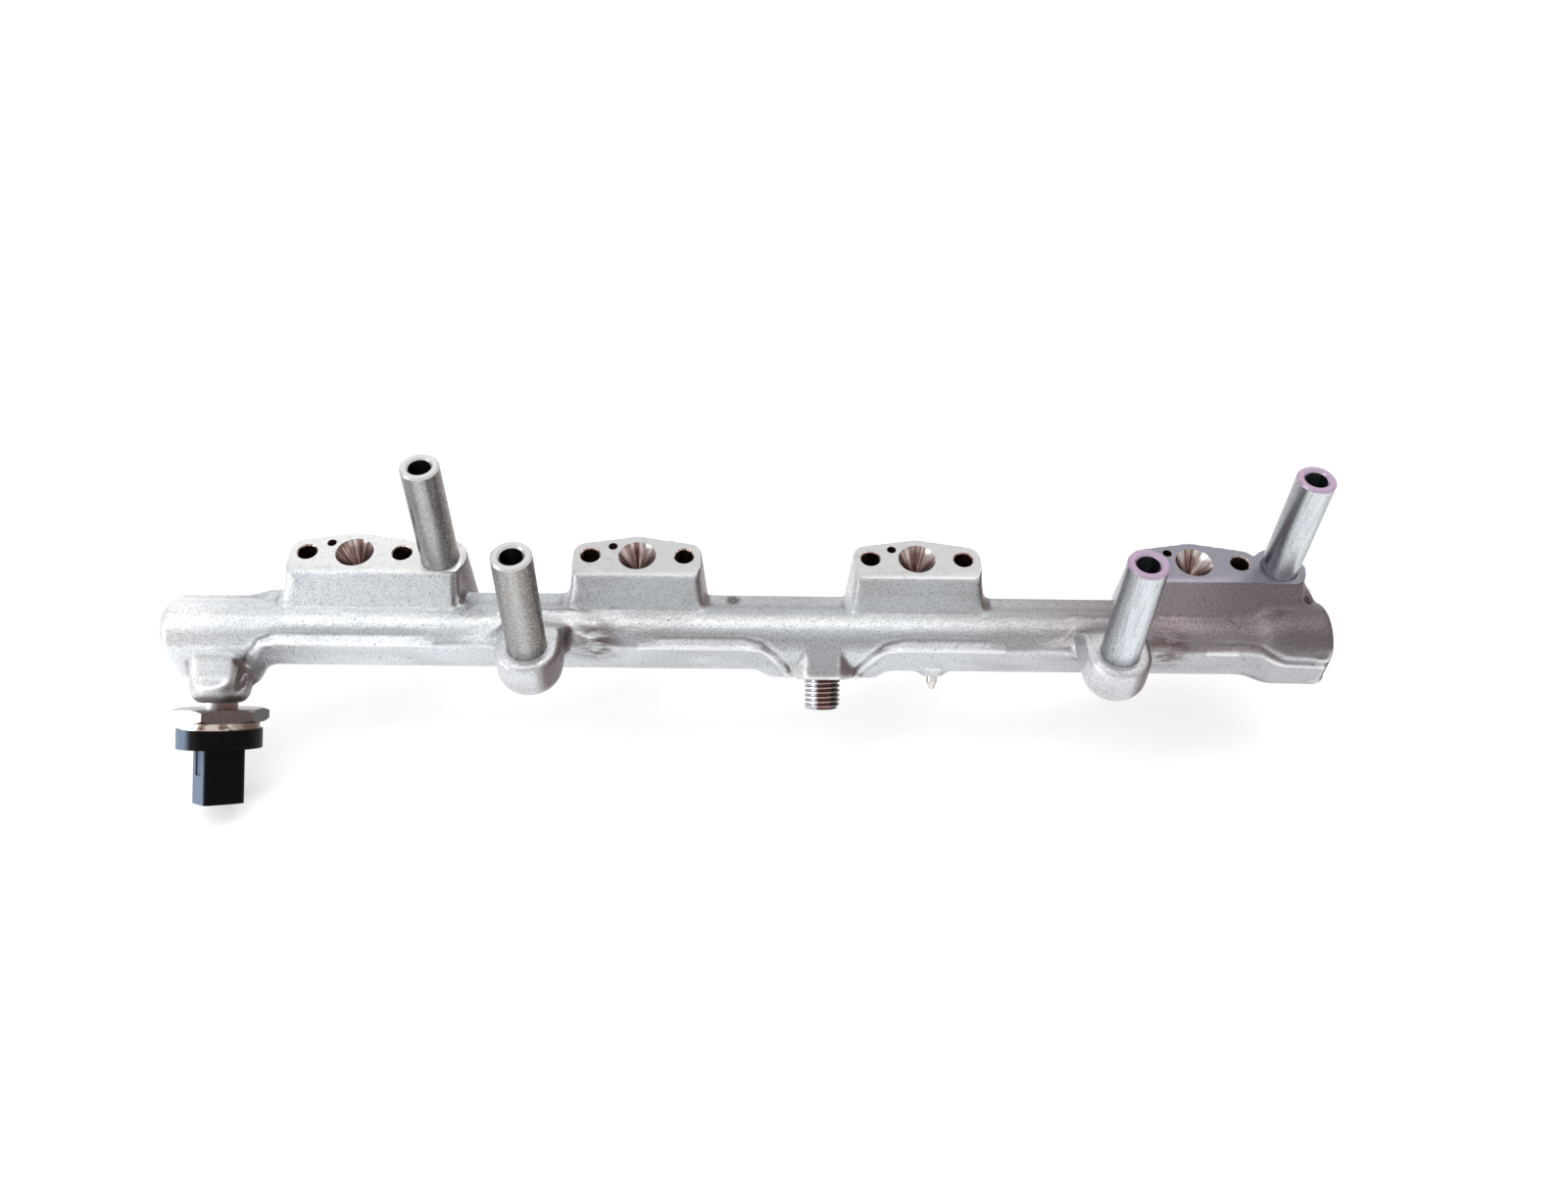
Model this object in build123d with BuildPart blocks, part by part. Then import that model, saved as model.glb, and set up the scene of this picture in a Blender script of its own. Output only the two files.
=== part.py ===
from build123d import *
from math import cos, radians, sin, sqrt, tan
import os

os.makedirs("parts", exist_ok=True)

# A forged high-pressure fuel rail for a four-cylinder engine, in millimetres.
# X runs along the rail, +Y to its back and +Z up, along the fixing sleeves.
# The origin is the centre of the first injector seat, on its machined pad.

# ---------------------------------------------------------------- driving sizes
cylinder_count = 4
cylinder_pitch = 90.0

# round bar
rail_radius = 10.5
rail_axis_forward = 18.0  # the bar's axis lies this far in front of the injector line
rail_axis_drop = 18.3  # and this far below the pad faces
left_overhang = 59.0  # from the first injector line to the left end
right_overhang = 41.5  # from the last injector line to the right end
left_chamfer = 2.6
fuel_bore_radius = 5.0
blind_end_wall = 7.0

# thick right end
barrel_radius = 13.4
barrel_length = 18.0
barrel_taper = 7.0
barrel_blend = 8.0
barrel_chamfer = 1.2
barrel_corner = 2.5

# band left along the forging's parting line
land_rise = 6.0  # its top edge, above the bar's axis
land_fall = 4.6  # its bottom edge, below the axis
land_front = 10.0  # its flat front, from the axis
land_stand_out = 0.15  # beyond the bar's back
land_edge_radius = 1.2
dip_bend_radius = 6.0

# injector pads
pad_half_width = 20.6
pad_back = 5.0
pad_apex = 8.8
pad_front = 9.0
pad_corner_radius = 4.6
pad_apex_radius = 14.0
pad_draft = 5.0
pad_front_edge_radius = 2.5
pad_root_radius = 5.5
shelf_drop = 9.2  # the shelf behind the bar, below the pad faces
shelf_back = 7.6  # its back, in front of the injector line
shelf_edge_radius = 0.8
shelf_set_back = 1.5  # from the pads' sloping front to the front of their root fillets
shelf_left_reach = 27.0  # level part, beyond the first injector line
shelf_end_ramp = 11.0
shelf_end_drop = 4.2

# injector seats and their clamp screws
seat_mouth_radius = 6.0
seat_half_angle = 30.0
seat_bottom_radius = 1.5
seat_drill_depth = 12.0
feed_radius = 1.25
feed_start_drop = 3.5
clamp_screw_spacing = 30.0
clamp_thread_radius = 3.0
clamp_thread_depth = 14.0
index_hole_offset = (-8.0, 4.0)
index_hole_radius = 1.5
index_hole_depth = 6.0

# fixing lugs, bosses and sleeves
front_lug_line = 38.0  # in front of the injector line
front_lug_from_pad = -30.7
front_lug_pads = (1, 3)
back_boss_line = 1.7
back_boss_from_pad = 27.4
back_boss_pads = (0, 3)
lug_radius = 10.0
lug_height = 16.0
lug_top_radius = 2.2
lug_bottom_radius = 6.5
back_boss_radius = 8.6
back_boss_draft = 3.0
back_boss_neck = (-12.0, 4.6)  # sides of the block that joins a back boss to the bar and its pad
back_boss_side = 6.6  # from a back boss's axis to its root fillet's side
neck_top_end = 31.0  # the level top of a lug ends here, in front of the injector line
neck_foot = 21.5  # and its slope meets the bar here
gusset_sections = [  # height above the bar's axis, half width, front at the bar, front at the neck
    (2.0, 25.0, 27.5, 27.5),
    (6.0, 25.0, 27.5, 30.5),
    (10.1, 20.0, 21.6, 28.0),
    (14.3, 10.6, 20.6, 25.0),
]
screw_seat_rise = 1.0  # spot face under each lug, above its lowest point
screw_seat_radius = 7.0
sleeve_radius = 6.0
sleeve_bore_radius = 3.4
sleeve_height = 39.0  # above the pad faces
sleeve_depth = 8.0  # below them
sleeve_chamfer = 0.6
sleeve_clearance = 0.1
socket_chamfer = 0.5

# inlet block and nipple
inlet_from_pad = 59.7  # from the second pad
inlet_fall = 45.0  # angle of the inlet and of the nub below the horizontal
inlet_face_reach = 12.9  # machined face, measured from the bar's axis
inlet_block_half_width = 12.0
inlet_block_half_depth = 10.3
inlet_block_chamfer = 6.8
inlet_dip_outer = 21.0
inlet_dip_inner = 12.0
dip_drop = 11.0
nipple_radius = 6.0
nipple_length = 10.0
nipple_socket_depth = 6.5
nipple_spigot_radius = 5.0
nipple_bore_radius = 2.0
nipple_cone_radius = 4.4
nipple_cone_depth = 4.2
nipple_chamfer = 0.9
throttle_radius = 3.2
throttle_length = 5.0
throttle_orifice_radius = 0.7

# small nub with its pin
nub_from_pad = 5.4  # from the third pad
nub_base_radius = 6.2
nub_tip_radius = 2.7
nub_reach = 12.4
pin_radius = 1.8
pin_reach = 16.2
pin_depth = 4.0
pin_point_radius = 0.7
pin_point_length = 2.4

# sensor boss
sensor_from_pad = -42.2  # from the first pad
sensor_fall = 41.0  # angle of the port's axis below the horizontal
sensor_boss_radius = 9.4
sensor_boss_reach = 23.3
sensor_boss_end_radius = 5.0
sensor_boss_flat = 7.2  # from the port's axis to the flat on the front
sensor_flat_reach = 15.2  # the flat ends here
sensor_facet_reach = 19.0  # and a facet carries it out to the round
sensor_dip_outer = 17.0
sensor_dip_inner = 10.0
sensor_thread_radius = 6.0
sensor_thread_depth = 11.4
sensor_nose_radius = 4.0
sensor_nose_length = 2.6
nose_clearance = 0.2
sensor_channel_radius = 1.2

# pressure sensor, stacked outwards from the sensor boss
neck_radius = 5.4
neck_length = 1.4
hexagon_across_flats = 26.0
hexagon_height = 4.2
hexagon_turn = 30.0
hexagon_chamfer = 0.9
spigot_radius = 6.5
spigot_height = 2.0
collar_radius = 12.0
collar_wall = 1.0
collar_floor = 1.2
collar_height = 6.2
cell_radius = 5.0
cell_height = 3.2
cell_pocket_radius = 3.0
cell_membrane = 0.4
board_ring_wall = 2.2
board_radius = 10.2
board_thickness = 1.0
seal_thickness = 0.5
seal_width = 1.4
housing_radius = 12.9
housing_roof = 1.6
skirt_depth = 6.1
connector_width = 13.0
connector_depth = 12.0
connector_wall = 1.1
connector_corner = 2.0
connector_height = 17.6
connector_floor = 2.2
connector_turn = 42.0
guide_depth = 0.6
guide_length = 8.5
guide_width = 4.4
terminal_pitch = 3.2
terminal_width = 1.6
terminal_thickness = 0.6
terminal_recess = 6.3  # tips below the connector's mouth

# closing plug at the right end
plug_radius = 8.0
plug_length = 10.0
plug_recess = 1.5
plug_hex_across_flats = 8.0
plug_hex_depth = 5.5
ball_radius = 6.2
ball_chamber_radius = 7.0

# ---------------------------------------------------------------- worked-out places
pad_x = [cylinder_pitch * number for number in range(cylinder_count)]
rail_left = pad_x[0] - left_overhang
rail_right = pad_x[-1] + right_overhang
barrel_start = rail_right - barrel_length
rail_axis_y = -rail_axis_forward
rail_axis_z = -rail_axis_drop
rail_line = Axis((0, rail_axis_y, rail_axis_z), (1, 0, 0))
land_reach = rail_radius + land_stand_out

inlet_x = pad_x[1] + inlet_from_pad
nub_x = pad_x[2] + nub_from_pad
sensor_x = pad_x[0] + sensor_from_pad
front_lug_x = [pad_x[number] + front_lug_from_pad for number in front_lug_pads]
back_boss_x = [pad_x[number] + back_boss_from_pad for number in back_boss_pads]
fixing_places = [
    (back_boss_x[0], -back_boss_line),
    (front_lug_x[0], -front_lug_line),
    (front_lug_x[1], -front_lug_line),
    (back_boss_x[1], -back_boss_line),
]
screw_seat_z = screw_seat_rise - lug_height
socket_radius = sleeve_radius + sleeve_clearance
seat_cone_depth = (seat_mouth_radius - seat_bottom_radius) / tan(radians(seat_half_angle))
ball_chamber_length = ball_radius + sqrt(ball_radius**2 - fuel_bore_radius**2)
pad_foot_z = rail_axis_z - land_fall


def across_rail(x):
    """Plane across the bar at x, centred on the bar's axis, its own axes along Y and Z."""
    return Plane(origin=(x, rail_axis_y, rail_axis_z), x_dir=(0, 1, 0), z_dir=(1, 0, 0))


def port_direction(fall):
    """Direction of a port that leaves the bar to the front, at this angle below the horizontal."""
    return Vector(0, -cos(radians(fall)), -sin(radians(fall)))


def port_plane(x, fall, reach=0.0):
    """Plane square to a port, at this reach from the bar's axis; its own X runs along the bar."""
    start = Vector(x, rail_axis_y, rail_axis_z)
    return Plane(origin=start, x_dir=(1, 0, 0), z_dir=port_direction(fall)).offset(reach)


def port_section(x, fall):
    """Plane through a port's axis: its own X is the radius and its own Y the reach."""
    start = Vector(x, rail_axis_y, rail_axis_z)
    return Plane(origin=start, x_dir=(1, 0, 0), z_dir=Vector(1, 0, 0).cross(port_direction(fall)))


def port_side(x, fall):
    """Plane through a port's axis, seen along the bar: its own X is the reach, its own Y the front."""
    return Plane(
        origin=(x, rail_axis_y, rail_axis_z), x_dir=port_direction(fall), z_dir=(-1, 0, 0)
    )


def port_axis(x, fall):
    """Line along a port, from the bar's axis outwards."""
    return Axis((x, rail_axis_y, rail_axis_z), port_direction(fall))


front_view = Plane(origin=(0, rail_axis_y, rail_axis_z), x_dir=(1, 0, 0), z_dir=(0, -1, 0))


# ---------------------------------------------------------------- forms of the forging
# Parting land along the front, seen from the front: it dips round the two ports.
def land_edge(height):
    """One edge of the front land, from left to right, at this height above the bar's axis."""
    low = height - dip_drop
    return [
        (rail_left + left_chamfer, height - dip_drop / 2),
        (sensor_x - sensor_dip_inner, low),
        (sensor_x + sensor_dip_inner, low),
        (sensor_x + sensor_dip_outer, height),
        (inlet_x - inlet_dip_outer, height),
        (inlet_x - inlet_dip_inner, low),
        (inlet_x + inlet_dip_inner, low),
        (inlet_x + inlet_dip_outer, height),
        (rail_right, height),
    ]


with BuildSketch(front_view) as land_outline:
    with BuildLine():
        Polyline(land_edge(land_rise) + land_edge(-land_fall)[::-1], close=True)
    make_face()
    port_bends = land_outline.vertices().filter_by(
        lambda corner: rail_left + left_chamfer + 1 < corner.X < barrel_start - 1
    )
    fillet(port_bends, dip_bend_radius)

# Everything in front of the land's flat, which steps forward with the thick right end.
barrel_front = land_front + barrel_radius - rail_radius
with BuildPart() as land_clearance:
    with BuildSketch(Plane.XY.offset(rail_axis_z - land_fall - dip_drop - 1)) as land_plan:
        with BuildLine():
            Polyline(
                (rail_left - 1, rail_axis_y - 2 * barrel_radius),
                (rail_left - 1, rail_axis_y - land_front),
                (barrel_start - barrel_taper, rail_axis_y - land_front),
                (barrel_start, rail_axis_y - barrel_front),
                (rail_right - barrel_corner, rail_axis_y - barrel_front),
                (rail_right + 1, rail_axis_y - barrel_front + barrel_corner + 1),
                (rail_right + 1, rail_axis_y - 2 * barrel_radius),
                close=True,
            )
        make_face()
        step_bends = land_plan.vertices().filter_by(
            lambda corner: barrel_start - barrel_taper - 1 < corner.X < barrel_start + 1
        )
        fillet(step_bends, barrel_blend)
    extrude(amount=land_rise + land_fall + dip_drop + 2)

with BuildPart() as front_land:
    extrude(land_outline.sketch, amount=barrel_radius)
    add(land_clearance.part, mode=Mode.SUBTRACT)

with BuildPart() as land_waste:
    extrude(land_outline.sketch, amount=barrel_radius + 1)
    add(land_clearance.part, mode=Mode.INTERSECT)

# One injector pad, at x = 0: a drafted block whose front slopes down to the bar at 45 degrees.
pad_outline = [
    (-pad_half_width, -pad_front),
    (-pad_half_width, pad_back),
    (0, pad_apex),
    (pad_half_width, pad_back),
    (pad_half_width, -pad_front),
    (pad_half_width, rail_axis_y),
    (-pad_half_width, rail_axis_y),
]


def slope_profile(set_back=0.0):
    """Everything in front of the pads' sloping front plane, or set back behind it, seen along X."""
    front = -pad_front + set_back
    foot = rail_axis_y - rail_radius
    return [(front, 0), (front + 1, 1), (foot, 1), (foot, foot - front)]


with BuildPart() as injector_pad:
    with BuildSketch(Plane.XY) as pad_top:
        with BuildLine():
            Polyline(pad_outline, close=True)
        make_face()
        back_corners = pad_top.vertices().filter_by(lambda corner: corner.Y > 0)
        fillet(back_corners.filter_by(lambda corner: abs(corner.X) > 1), pad_corner_radius)
        fillet(back_corners.filter_by(lambda corner: abs(corner.X) < 1), pad_apex_radius)
    extrude(amount=pad_foot_z, taper=-pad_draft)
    fillet(injector_pad.faces().sort_by(Axis.Z)[0].edges(), land_edge_radius)
    with BuildSketch(Plane.YZ.offset(-2 * pad_half_width)):
        with BuildLine():
            Polyline(slope_profile(), close=True)
        make_face()
    extrude(amount=4 * pad_half_width, mode=Mode.SUBTRACT)
    front_edges = injector_pad.edges().filter_by(
        lambda edge: edge.center().Y < -pad_front and abs(edge.tangent_at(0.5).X) < 0.3
        and abs(edge.tangent_at(0.5).Y) > 0.5 and edge.center().Z > rail_axis_z + rail_radius - 3
    )
    fillet(front_edges, pad_front_edge_radius)

# The same block for a back boss: a drafted round post with a neck that joins it to the bar.
with BuildPart() as back_boss:
    with BuildSketch(Plane.XY) as back_boss_top:
        with Locations((0, -back_boss_line)):
            Circle(back_boss_radius)
        with Locations((back_boss_neck[1], -back_boss_line)):
            Rectangle(
                back_boss_neck[1] - back_boss_neck[0],
                rail_axis_forward - back_boss_line,
                align=(Align.MAX, Align.MAX),
            )
    extrude(amount=pad_foot_z, taper=-back_boss_draft)
    with BuildSketch(Plane.YZ.offset(-2 * back_boss_radius)):
        with BuildLine():
            Polyline(slope_profile(), close=True)
        make_face()
    extrude(amount=4 * back_boss_radius, mode=Mode.SUBTRACT)

neck_foot_z = rail_axis_z + sqrt(rail_radius**2 - (neck_foot - rail_axis_forward) ** 2) - 0.3

# One front lug, at x = 0: a post in front of the bar, joined to it by a neck of the same width.
with BuildPart() as front_lug:
    with BuildSketch(Plane.XY.offset(-lug_height)) as lug_plan:
        with Locations((0, -front_lug_line)):
            Circle(lug_radius)
        with Locations((0, (rail_axis_y - front_lug_line) / 2)):
            Rectangle(2 * lug_radius, front_lug_line + rail_axis_y)
    extrude(amount=lug_height)
    with BuildSketch(Plane.YZ.offset(-lug_radius - 1)) as neck_slope:
        with BuildLine():
            Polyline(
                (-neck_top_end, 0),
                (-neck_top_end, 1),
                (rail_axis_y + 1, 1),
                (rail_axis_y + 1, neck_foot_z),
                (-neck_foot, neck_foot_z),
                close=True,
            )
        make_face()
    extrude(amount=2 * lug_radius + 2, mode=Mode.SUBTRACT)
    fillet(front_lug.faces().filter_by(Axis.Z).sort_by(Axis.Z)[-1].edges(), lug_top_radius)
    fillet(front_lug.faces().filter_by(Axis.Z).sort_by(Axis.Z)[0].edges().filter_by(
        lambda edge: edge.center().Y < rail_axis_y - 1), lug_bottom_radius)

# Ramps that carry a front lug's sides into the bar: wide at the land, narrow at the top.
with BuildPart() as lug_gusset:
    for height, half_width, bar_front, neck_front in gusset_sections:
        with BuildSketch(Plane.XY.offset(rail_axis_z + height)):
            with BuildLine():
                Polyline(
                    (-half_width, rail_axis_y),
                    (-half_width, -bar_front),
                    (-lug_radius + 1, -neck_front),
                    (lug_radius - 1, -neck_front),
                    (half_width, -bar_front),
                    (half_width, rail_axis_y),
                    close=True,
                )
            make_face()
    loft(ruled=True)

# Block round the inlet and boss round the sensor's port, both square to their port.
with BuildPart() as inlet_block:
    with BuildSketch(port_plane(inlet_x, inlet_fall)) as inlet_block_section:
        Rectangle(2 * inlet_block_half_width, 2 * inlet_block_half_depth)
        chamfer(inlet_block_section.vertices(), inlet_block_chamfer)
    extrude(amount=inlet_face_reach)

with BuildPart() as sensor_boss:
    with BuildSketch(port_plane(sensor_x, sensor_fall)):
        Circle(sensor_boss_radius)
    extrude(amount=sensor_boss_reach)
    end_rim = sensor_boss.edges().filter_by(GeomType.CIRCLE).sort_by(Axis.Z)[0]
    fillet(end_rim, sensor_boss_end_radius)
    with BuildSketch(port_side(sensor_x, sensor_fall)):
        with BuildLine():
            Polyline(
                (0, sensor_boss_flat),
                (sensor_flat_reach, sensor_boss_flat),
                (sensor_facet_reach, sensor_boss_radius + 1),
                (0, sensor_boss_radius + 1),
                close=True,
            )
        make_face()
    extrude(amount=sensor_boss_radius, both=True, mode=Mode.SUBTRACT)

# Pads and back bosses on the shelf that joins them behind the bar, with their root fillets.
root_spread = shelf_drop * tan(radians(pad_draft))
pad_sides = [[x - pad_half_width, x + pad_half_width] for x in pad_x]
for number, x in zip(back_boss_pads, back_boss_x):
    pad_sides[number][1] = x + back_boss_side

with BuildPart() as pad_row:
    shelf_top = rail_axis_drop - shelf_drop
    shelf_left = pad_x[0] - shelf_left_reach
    skyline = [
        (shelf_left - shelf_end_ramp, 0),
        (shelf_left - shelf_end_ramp, shelf_top - shelf_end_drop),
        (shelf_left, shelf_top),
    ]
    for left, right in pad_sides:
        skyline += [
            (left - root_spread, shelf_top),
            (left, rail_axis_drop),
            (right, rail_axis_drop),
            (right + root_spread, shelf_top),
        ]
    skyline[-1] = (pad_sides[-1][1] + root_spread, 0)
    with BuildSketch(front_view) as shelf_outline:
        with BuildLine():
            Polyline(skyline, close=True)
        make_face()
        roots = shelf_outline.vertices().filter_by(
            lambda corner: abs(corner.Z - rail_axis_z - shelf_top) < 0.01 and corner.X > shelf_left + 1
        )
        fillet(roots, pad_root_radius)
    extrude(amount=shelf_back - rail_axis_forward)
    with BuildSketch(Plane.YZ.offset(rail_left)):
        with BuildLine():
            Polyline(slope_profile(shelf_set_back), close=True)
        make_face()
    extrude(amount=rail_right - rail_left, mode=Mode.SUBTRACT)
    for x in pad_x:
        with Locations((x, 0, 0)):
            add(injector_pad.part)
    for x in back_boss_x:
        with Locations((x, 0, 0)):
            add(back_boss.part)

# ---------------------------------------------------------------- rail body
with BuildPart() as rail_body:
    # round bar with its thick right end
    with BuildSketch(front_view) as bar_profile:
        with BuildLine():
            Polyline(
                (rail_left, 0),
                (rail_left, rail_radius - left_chamfer),
                (rail_left + left_chamfer, rail_radius),
                (barrel_start - barrel_taper, rail_radius),
                (barrel_start, barrel_radius),
                (rail_right - barrel_chamfer, barrel_radius),
                (rail_right, barrel_radius - barrel_chamfer),
                (rail_right, 0),
                close=True,
            )
        make_face()
        taper_bends = bar_profile.vertices().filter_by(
            lambda corner: barrel_start - barrel_taper - 1 < corner.X < barrel_start + 1
        )
        fillet(taper_bends, barrel_blend)
    revolve(axis=rail_line)
    add(land_waste.part, mode=Mode.SUBTRACT)
    add(front_land.part)

    # parting land along the back
    with BuildSketch(Plane.XY.offset(pad_foot_z)):
        with Locations(((rail_left + left_chamfer + barrel_start) / 2, rail_axis_y + land_reach / 2)):
            Rectangle(barrel_start - rail_left - left_chamfer, land_reach)
    extrude(amount=land_rise + land_fall)
    add(pad_row.part)

    # front lugs, inlet block, sensor boss and nub
    for x in front_lug_x:
        with Locations((x, 0, 0)):
            add(front_lug.part)
            add(lug_gusset.part)
    add(inlet_block.part)
    add(sensor_boss.part)
    with BuildSketch(port_section(nub_x, inlet_fall)):
        with BuildLine():
            Polyline(
                (0, 0),
                (nub_base_radius, 0),
                (nub_base_radius, rail_radius - 1),
                (nub_tip_radius, nub_reach),
                (0, nub_reach),
                close=True,
            )
        make_face()
    revolve(axis=port_axis(nub_x, inlet_fall))

    # machined face round the inlet
    face_span = 2 * (inlet_dip_outer + 1)
    with BuildSketch(port_plane(inlet_x, inlet_fall, inlet_face_reach)):
        Rectangle(face_span, face_span)
    extrude(amount=rail_radius, mode=Mode.SUBTRACT)

    # fuel bore, drilled from the right, with the chamber of the closing ball and the plug's thread
    with BuildSketch(across_rail(rail_right)):
        Circle(fuel_bore_radius)
    extrude(amount=-(rail_right - rail_left - blind_end_wall), mode=Mode.SUBTRACT)
    with BuildSketch(across_rail(rail_right)):
        Circle(ball_chamber_radius)
    extrude(amount=-(plug_recess + plug_length + ball_chamber_length), mode=Mode.SUBTRACT)
    with BuildSketch(across_rail(rail_right)):
        Circle(plug_radius)
    extrude(amount=-(plug_recess + plug_length), mode=Mode.SUBTRACT)

    # injector seats with their feed drillings, index holes and clamp screw threads
    for x in pad_x:
        with BuildSketch(Plane(origin=(x, 0, 0), x_dir=(1, 0, 0), z_dir=(0, -1, 0))):
            with BuildLine():
                Polyline(
                    (0, 0),
                    (seat_mouth_radius, 0),
                    (seat_bottom_radius, -seat_cone_depth),
                    (seat_bottom_radius, -seat_drill_depth),
                    (0, -seat_drill_depth - seat_bottom_radius / 2),
                    close=True,
                )
            make_face()
        revolve(axis=Axis((x, 0, 0), (0, 0, 1)), mode=Mode.SUBTRACT)
        feed_start = Vector(x, 0, -feed_start_drop)
        feed_line = Vector(x, rail_axis_y, rail_axis_z) - feed_start
        with BuildSketch(Plane(origin=feed_start, z_dir=feed_line)):
            Circle(feed_radius)
        extrude(amount=feed_line.length, mode=Mode.SUBTRACT)
        with Locations((x + index_hole_offset[0], index_hole_offset[1], 0)):
            Hole(index_hole_radius, depth=index_hole_depth)
        with Locations((x - clamp_screw_spacing / 2, 0, 0), (x + clamp_screw_spacing / 2, 0, 0)):
            Hole(clamp_thread_radius, depth=clamp_thread_depth)

    # sleeve sockets, screw holes and the screws' spot faces underneath
    for x, y in fixing_places:
        with Locations((x, y, 0)):
            Hole(socket_radius, depth=sleeve_depth)
            CounterSinkHole(sleeve_bore_radius, socket_radius + socket_chamfer, depth=2 * lug_height)
        with Locations(Plane(origin=(x, y, screw_seat_z), z_dir=(0, 0, -1))):
            Cylinder(
                screw_seat_radius,
                lug_height,
                align=(Align.CENTER, Align.CENTER, Align.MIN),
                mode=Mode.SUBTRACT,
            )

    # inlet: socket of the nipple and the drilling behind it
    with BuildSketch(port_plane(inlet_x, inlet_fall, inlet_face_reach)):
        Circle(nipple_spigot_radius)
    extrude(amount=-nipple_socket_depth, mode=Mode.SUBTRACT)
    with BuildSketch(port_plane(inlet_x, inlet_fall, inlet_face_reach)):
        Circle(nipple_bore_radius)
    extrude(amount=-inlet_face_reach, mode=Mode.SUBTRACT)

    # sensor port: thread, pocket of the sensor's nose and the drilling behind it
    for radius, depth in (
        (sensor_thread_radius, sensor_thread_depth),
        (sensor_nose_radius + nose_clearance, sensor_thread_depth + sensor_nose_length),
        (sensor_channel_radius, sensor_boss_reach),
    ):
        with BuildSketch(port_plane(sensor_x, sensor_fall, sensor_boss_reach)):
            Circle(radius)
        extrude(amount=-depth, mode=Mode.SUBTRACT)

    # socket of the locating pin
    with BuildSketch(port_plane(nub_x, inlet_fall, nub_reach)):
        Circle(pin_radius)
    extrude(amount=-pin_depth, mode=Mode.SUBTRACT)
rail_body.part.label = "rail_body"
export_step(rail_body.part, "parts/rail_body.step")

# ---------------------------------------------------------------- fixing sleeves
for number, (x, y) in enumerate(fixing_places, start=1):
    with BuildPart() as mounting_sleeve:
        with BuildSketch(Plane.XY.offset(-sleeve_depth)):
            with Locations((x, y)):
                Circle(sleeve_radius)
                Circle(sleeve_bore_radius, mode=Mode.SUBTRACT)
        extrude(amount=sleeve_depth + sleeve_height)
        top_rims = mounting_sleeve.faces().sort_by(Axis.Z)[-1].edges()
        chamfer(top_rims, sleeve_chamfer)
    mounting_sleeve.part.label = f"mounting_sleeve_{number}"
    export_step(mounting_sleeve.part, f"parts/mounting_sleeve_{number}.step")

# ---------------------------------------------------------------- inlet nipple and its throttle
nipple_foot = inlet_face_reach - nipple_socket_depth
nipple_tip = inlet_face_reach + nipple_length

with BuildPart() as inlet_nipple:
    with BuildSketch(port_section(inlet_x, inlet_fall)):
        with BuildLine():
            Polyline(
                (nipple_bore_radius, nipple_foot + throttle_length),
                (throttle_radius, nipple_foot + throttle_length),
                (throttle_radius, nipple_foot),
                (nipple_spigot_radius, nipple_foot),
                (nipple_spigot_radius, inlet_face_reach),
                (nipple_radius, inlet_face_reach),
                (nipple_radius, nipple_tip - nipple_chamfer),
                (nipple_radius - nipple_chamfer, nipple_tip),
                (nipple_cone_radius, nipple_tip),
                (nipple_bore_radius, nipple_tip - nipple_cone_depth),
                close=True,
            )
        make_face()
    revolve(axis=port_axis(inlet_x, inlet_fall))
inlet_nipple.part.label = "inlet_nipple"
export_step(inlet_nipple.part, "parts/inlet_nipple.step")

with BuildPart() as inlet_throttle:
    with BuildSketch(port_section(inlet_x, inlet_fall)):
        with BuildLine():
            Polyline(
                (nipple_bore_radius, nipple_foot),
                (throttle_radius, nipple_foot),
                (throttle_radius, nipple_foot + throttle_length),
                (throttle_orifice_radius, nipple_foot + throttle_length),
                (throttle_orifice_radius, nipple_foot + throttle_length / 3),
                close=True,
            )
        make_face()
    revolve(axis=port_axis(inlet_x, inlet_fall))
inlet_throttle.part.label = "inlet_throttle"
export_step(inlet_throttle.part, "parts/inlet_throttle.step")

# ---------------------------------------------------------------- locating pin
with BuildPart() as locating_pin:
    with BuildSketch(port_section(nub_x, inlet_fall)):
        with BuildLine():
            Polyline(
                (0, nub_reach - pin_depth),
                (pin_radius, nub_reach - pin_depth),
                (pin_radius, pin_reach - pin_point_length),
                (pin_point_radius, pin_reach),
                (0, pin_reach),
                close=True,
            )
        make_face()
    revolve(axis=port_axis(nub_x, inlet_fall))
locating_pin.part.label = "locating_pin"
export_step(locating_pin.part, "parts/locating_pin.step")

# ---------------------------------------------------------------- closing of the fuel bore
ball_centre_x = rail_right - plug_recess - plug_length - ball_radius
with BuildPart() as closing_ball:
    with Locations((ball_centre_x, rail_axis_y, rail_axis_z)):
        Sphere(ball_radius)
closing_ball.part.label = "closing_ball"
export_step(closing_ball.part, "parts/closing_ball.step")

with BuildPart() as end_plug:
    with BuildSketch(across_rail(rail_right - plug_recess)):
        Circle(plug_radius)
    extrude(amount=-plug_length)
    with BuildSketch(across_rail(rail_right - plug_recess)):
        RegularPolygon(plug_hex_across_flats / 2, 6, major_radius=False)
    extrude(amount=-plug_hex_depth, mode=Mode.SUBTRACT)
end_plug.part.label = "end_plug"
export_step(end_plug.part, "parts/end_plug.step")

# ---------------------------------------------------------------- pressure sensor
# Reaches from the bar's axis, outwards along the sensor's port.
nose_reach = sensor_boss_reach - sensor_thread_depth - sensor_nose_length
thread_reach = sensor_boss_reach - sensor_thread_depth
hexagon_reach = sensor_boss_reach + neck_length
flange_reach = hexagon_reach + hexagon_height
cell_foot = flange_reach + spigot_height
board_reach = cell_foot + cell_height
collar_rim = flange_reach + collar_height
roof_reach = collar_rim + seal_thickness
connector_foot = roof_reach + housing_roof
connector_mouth = connector_foot + connector_height
terminal_tip = connector_mouth - terminal_recess

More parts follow.
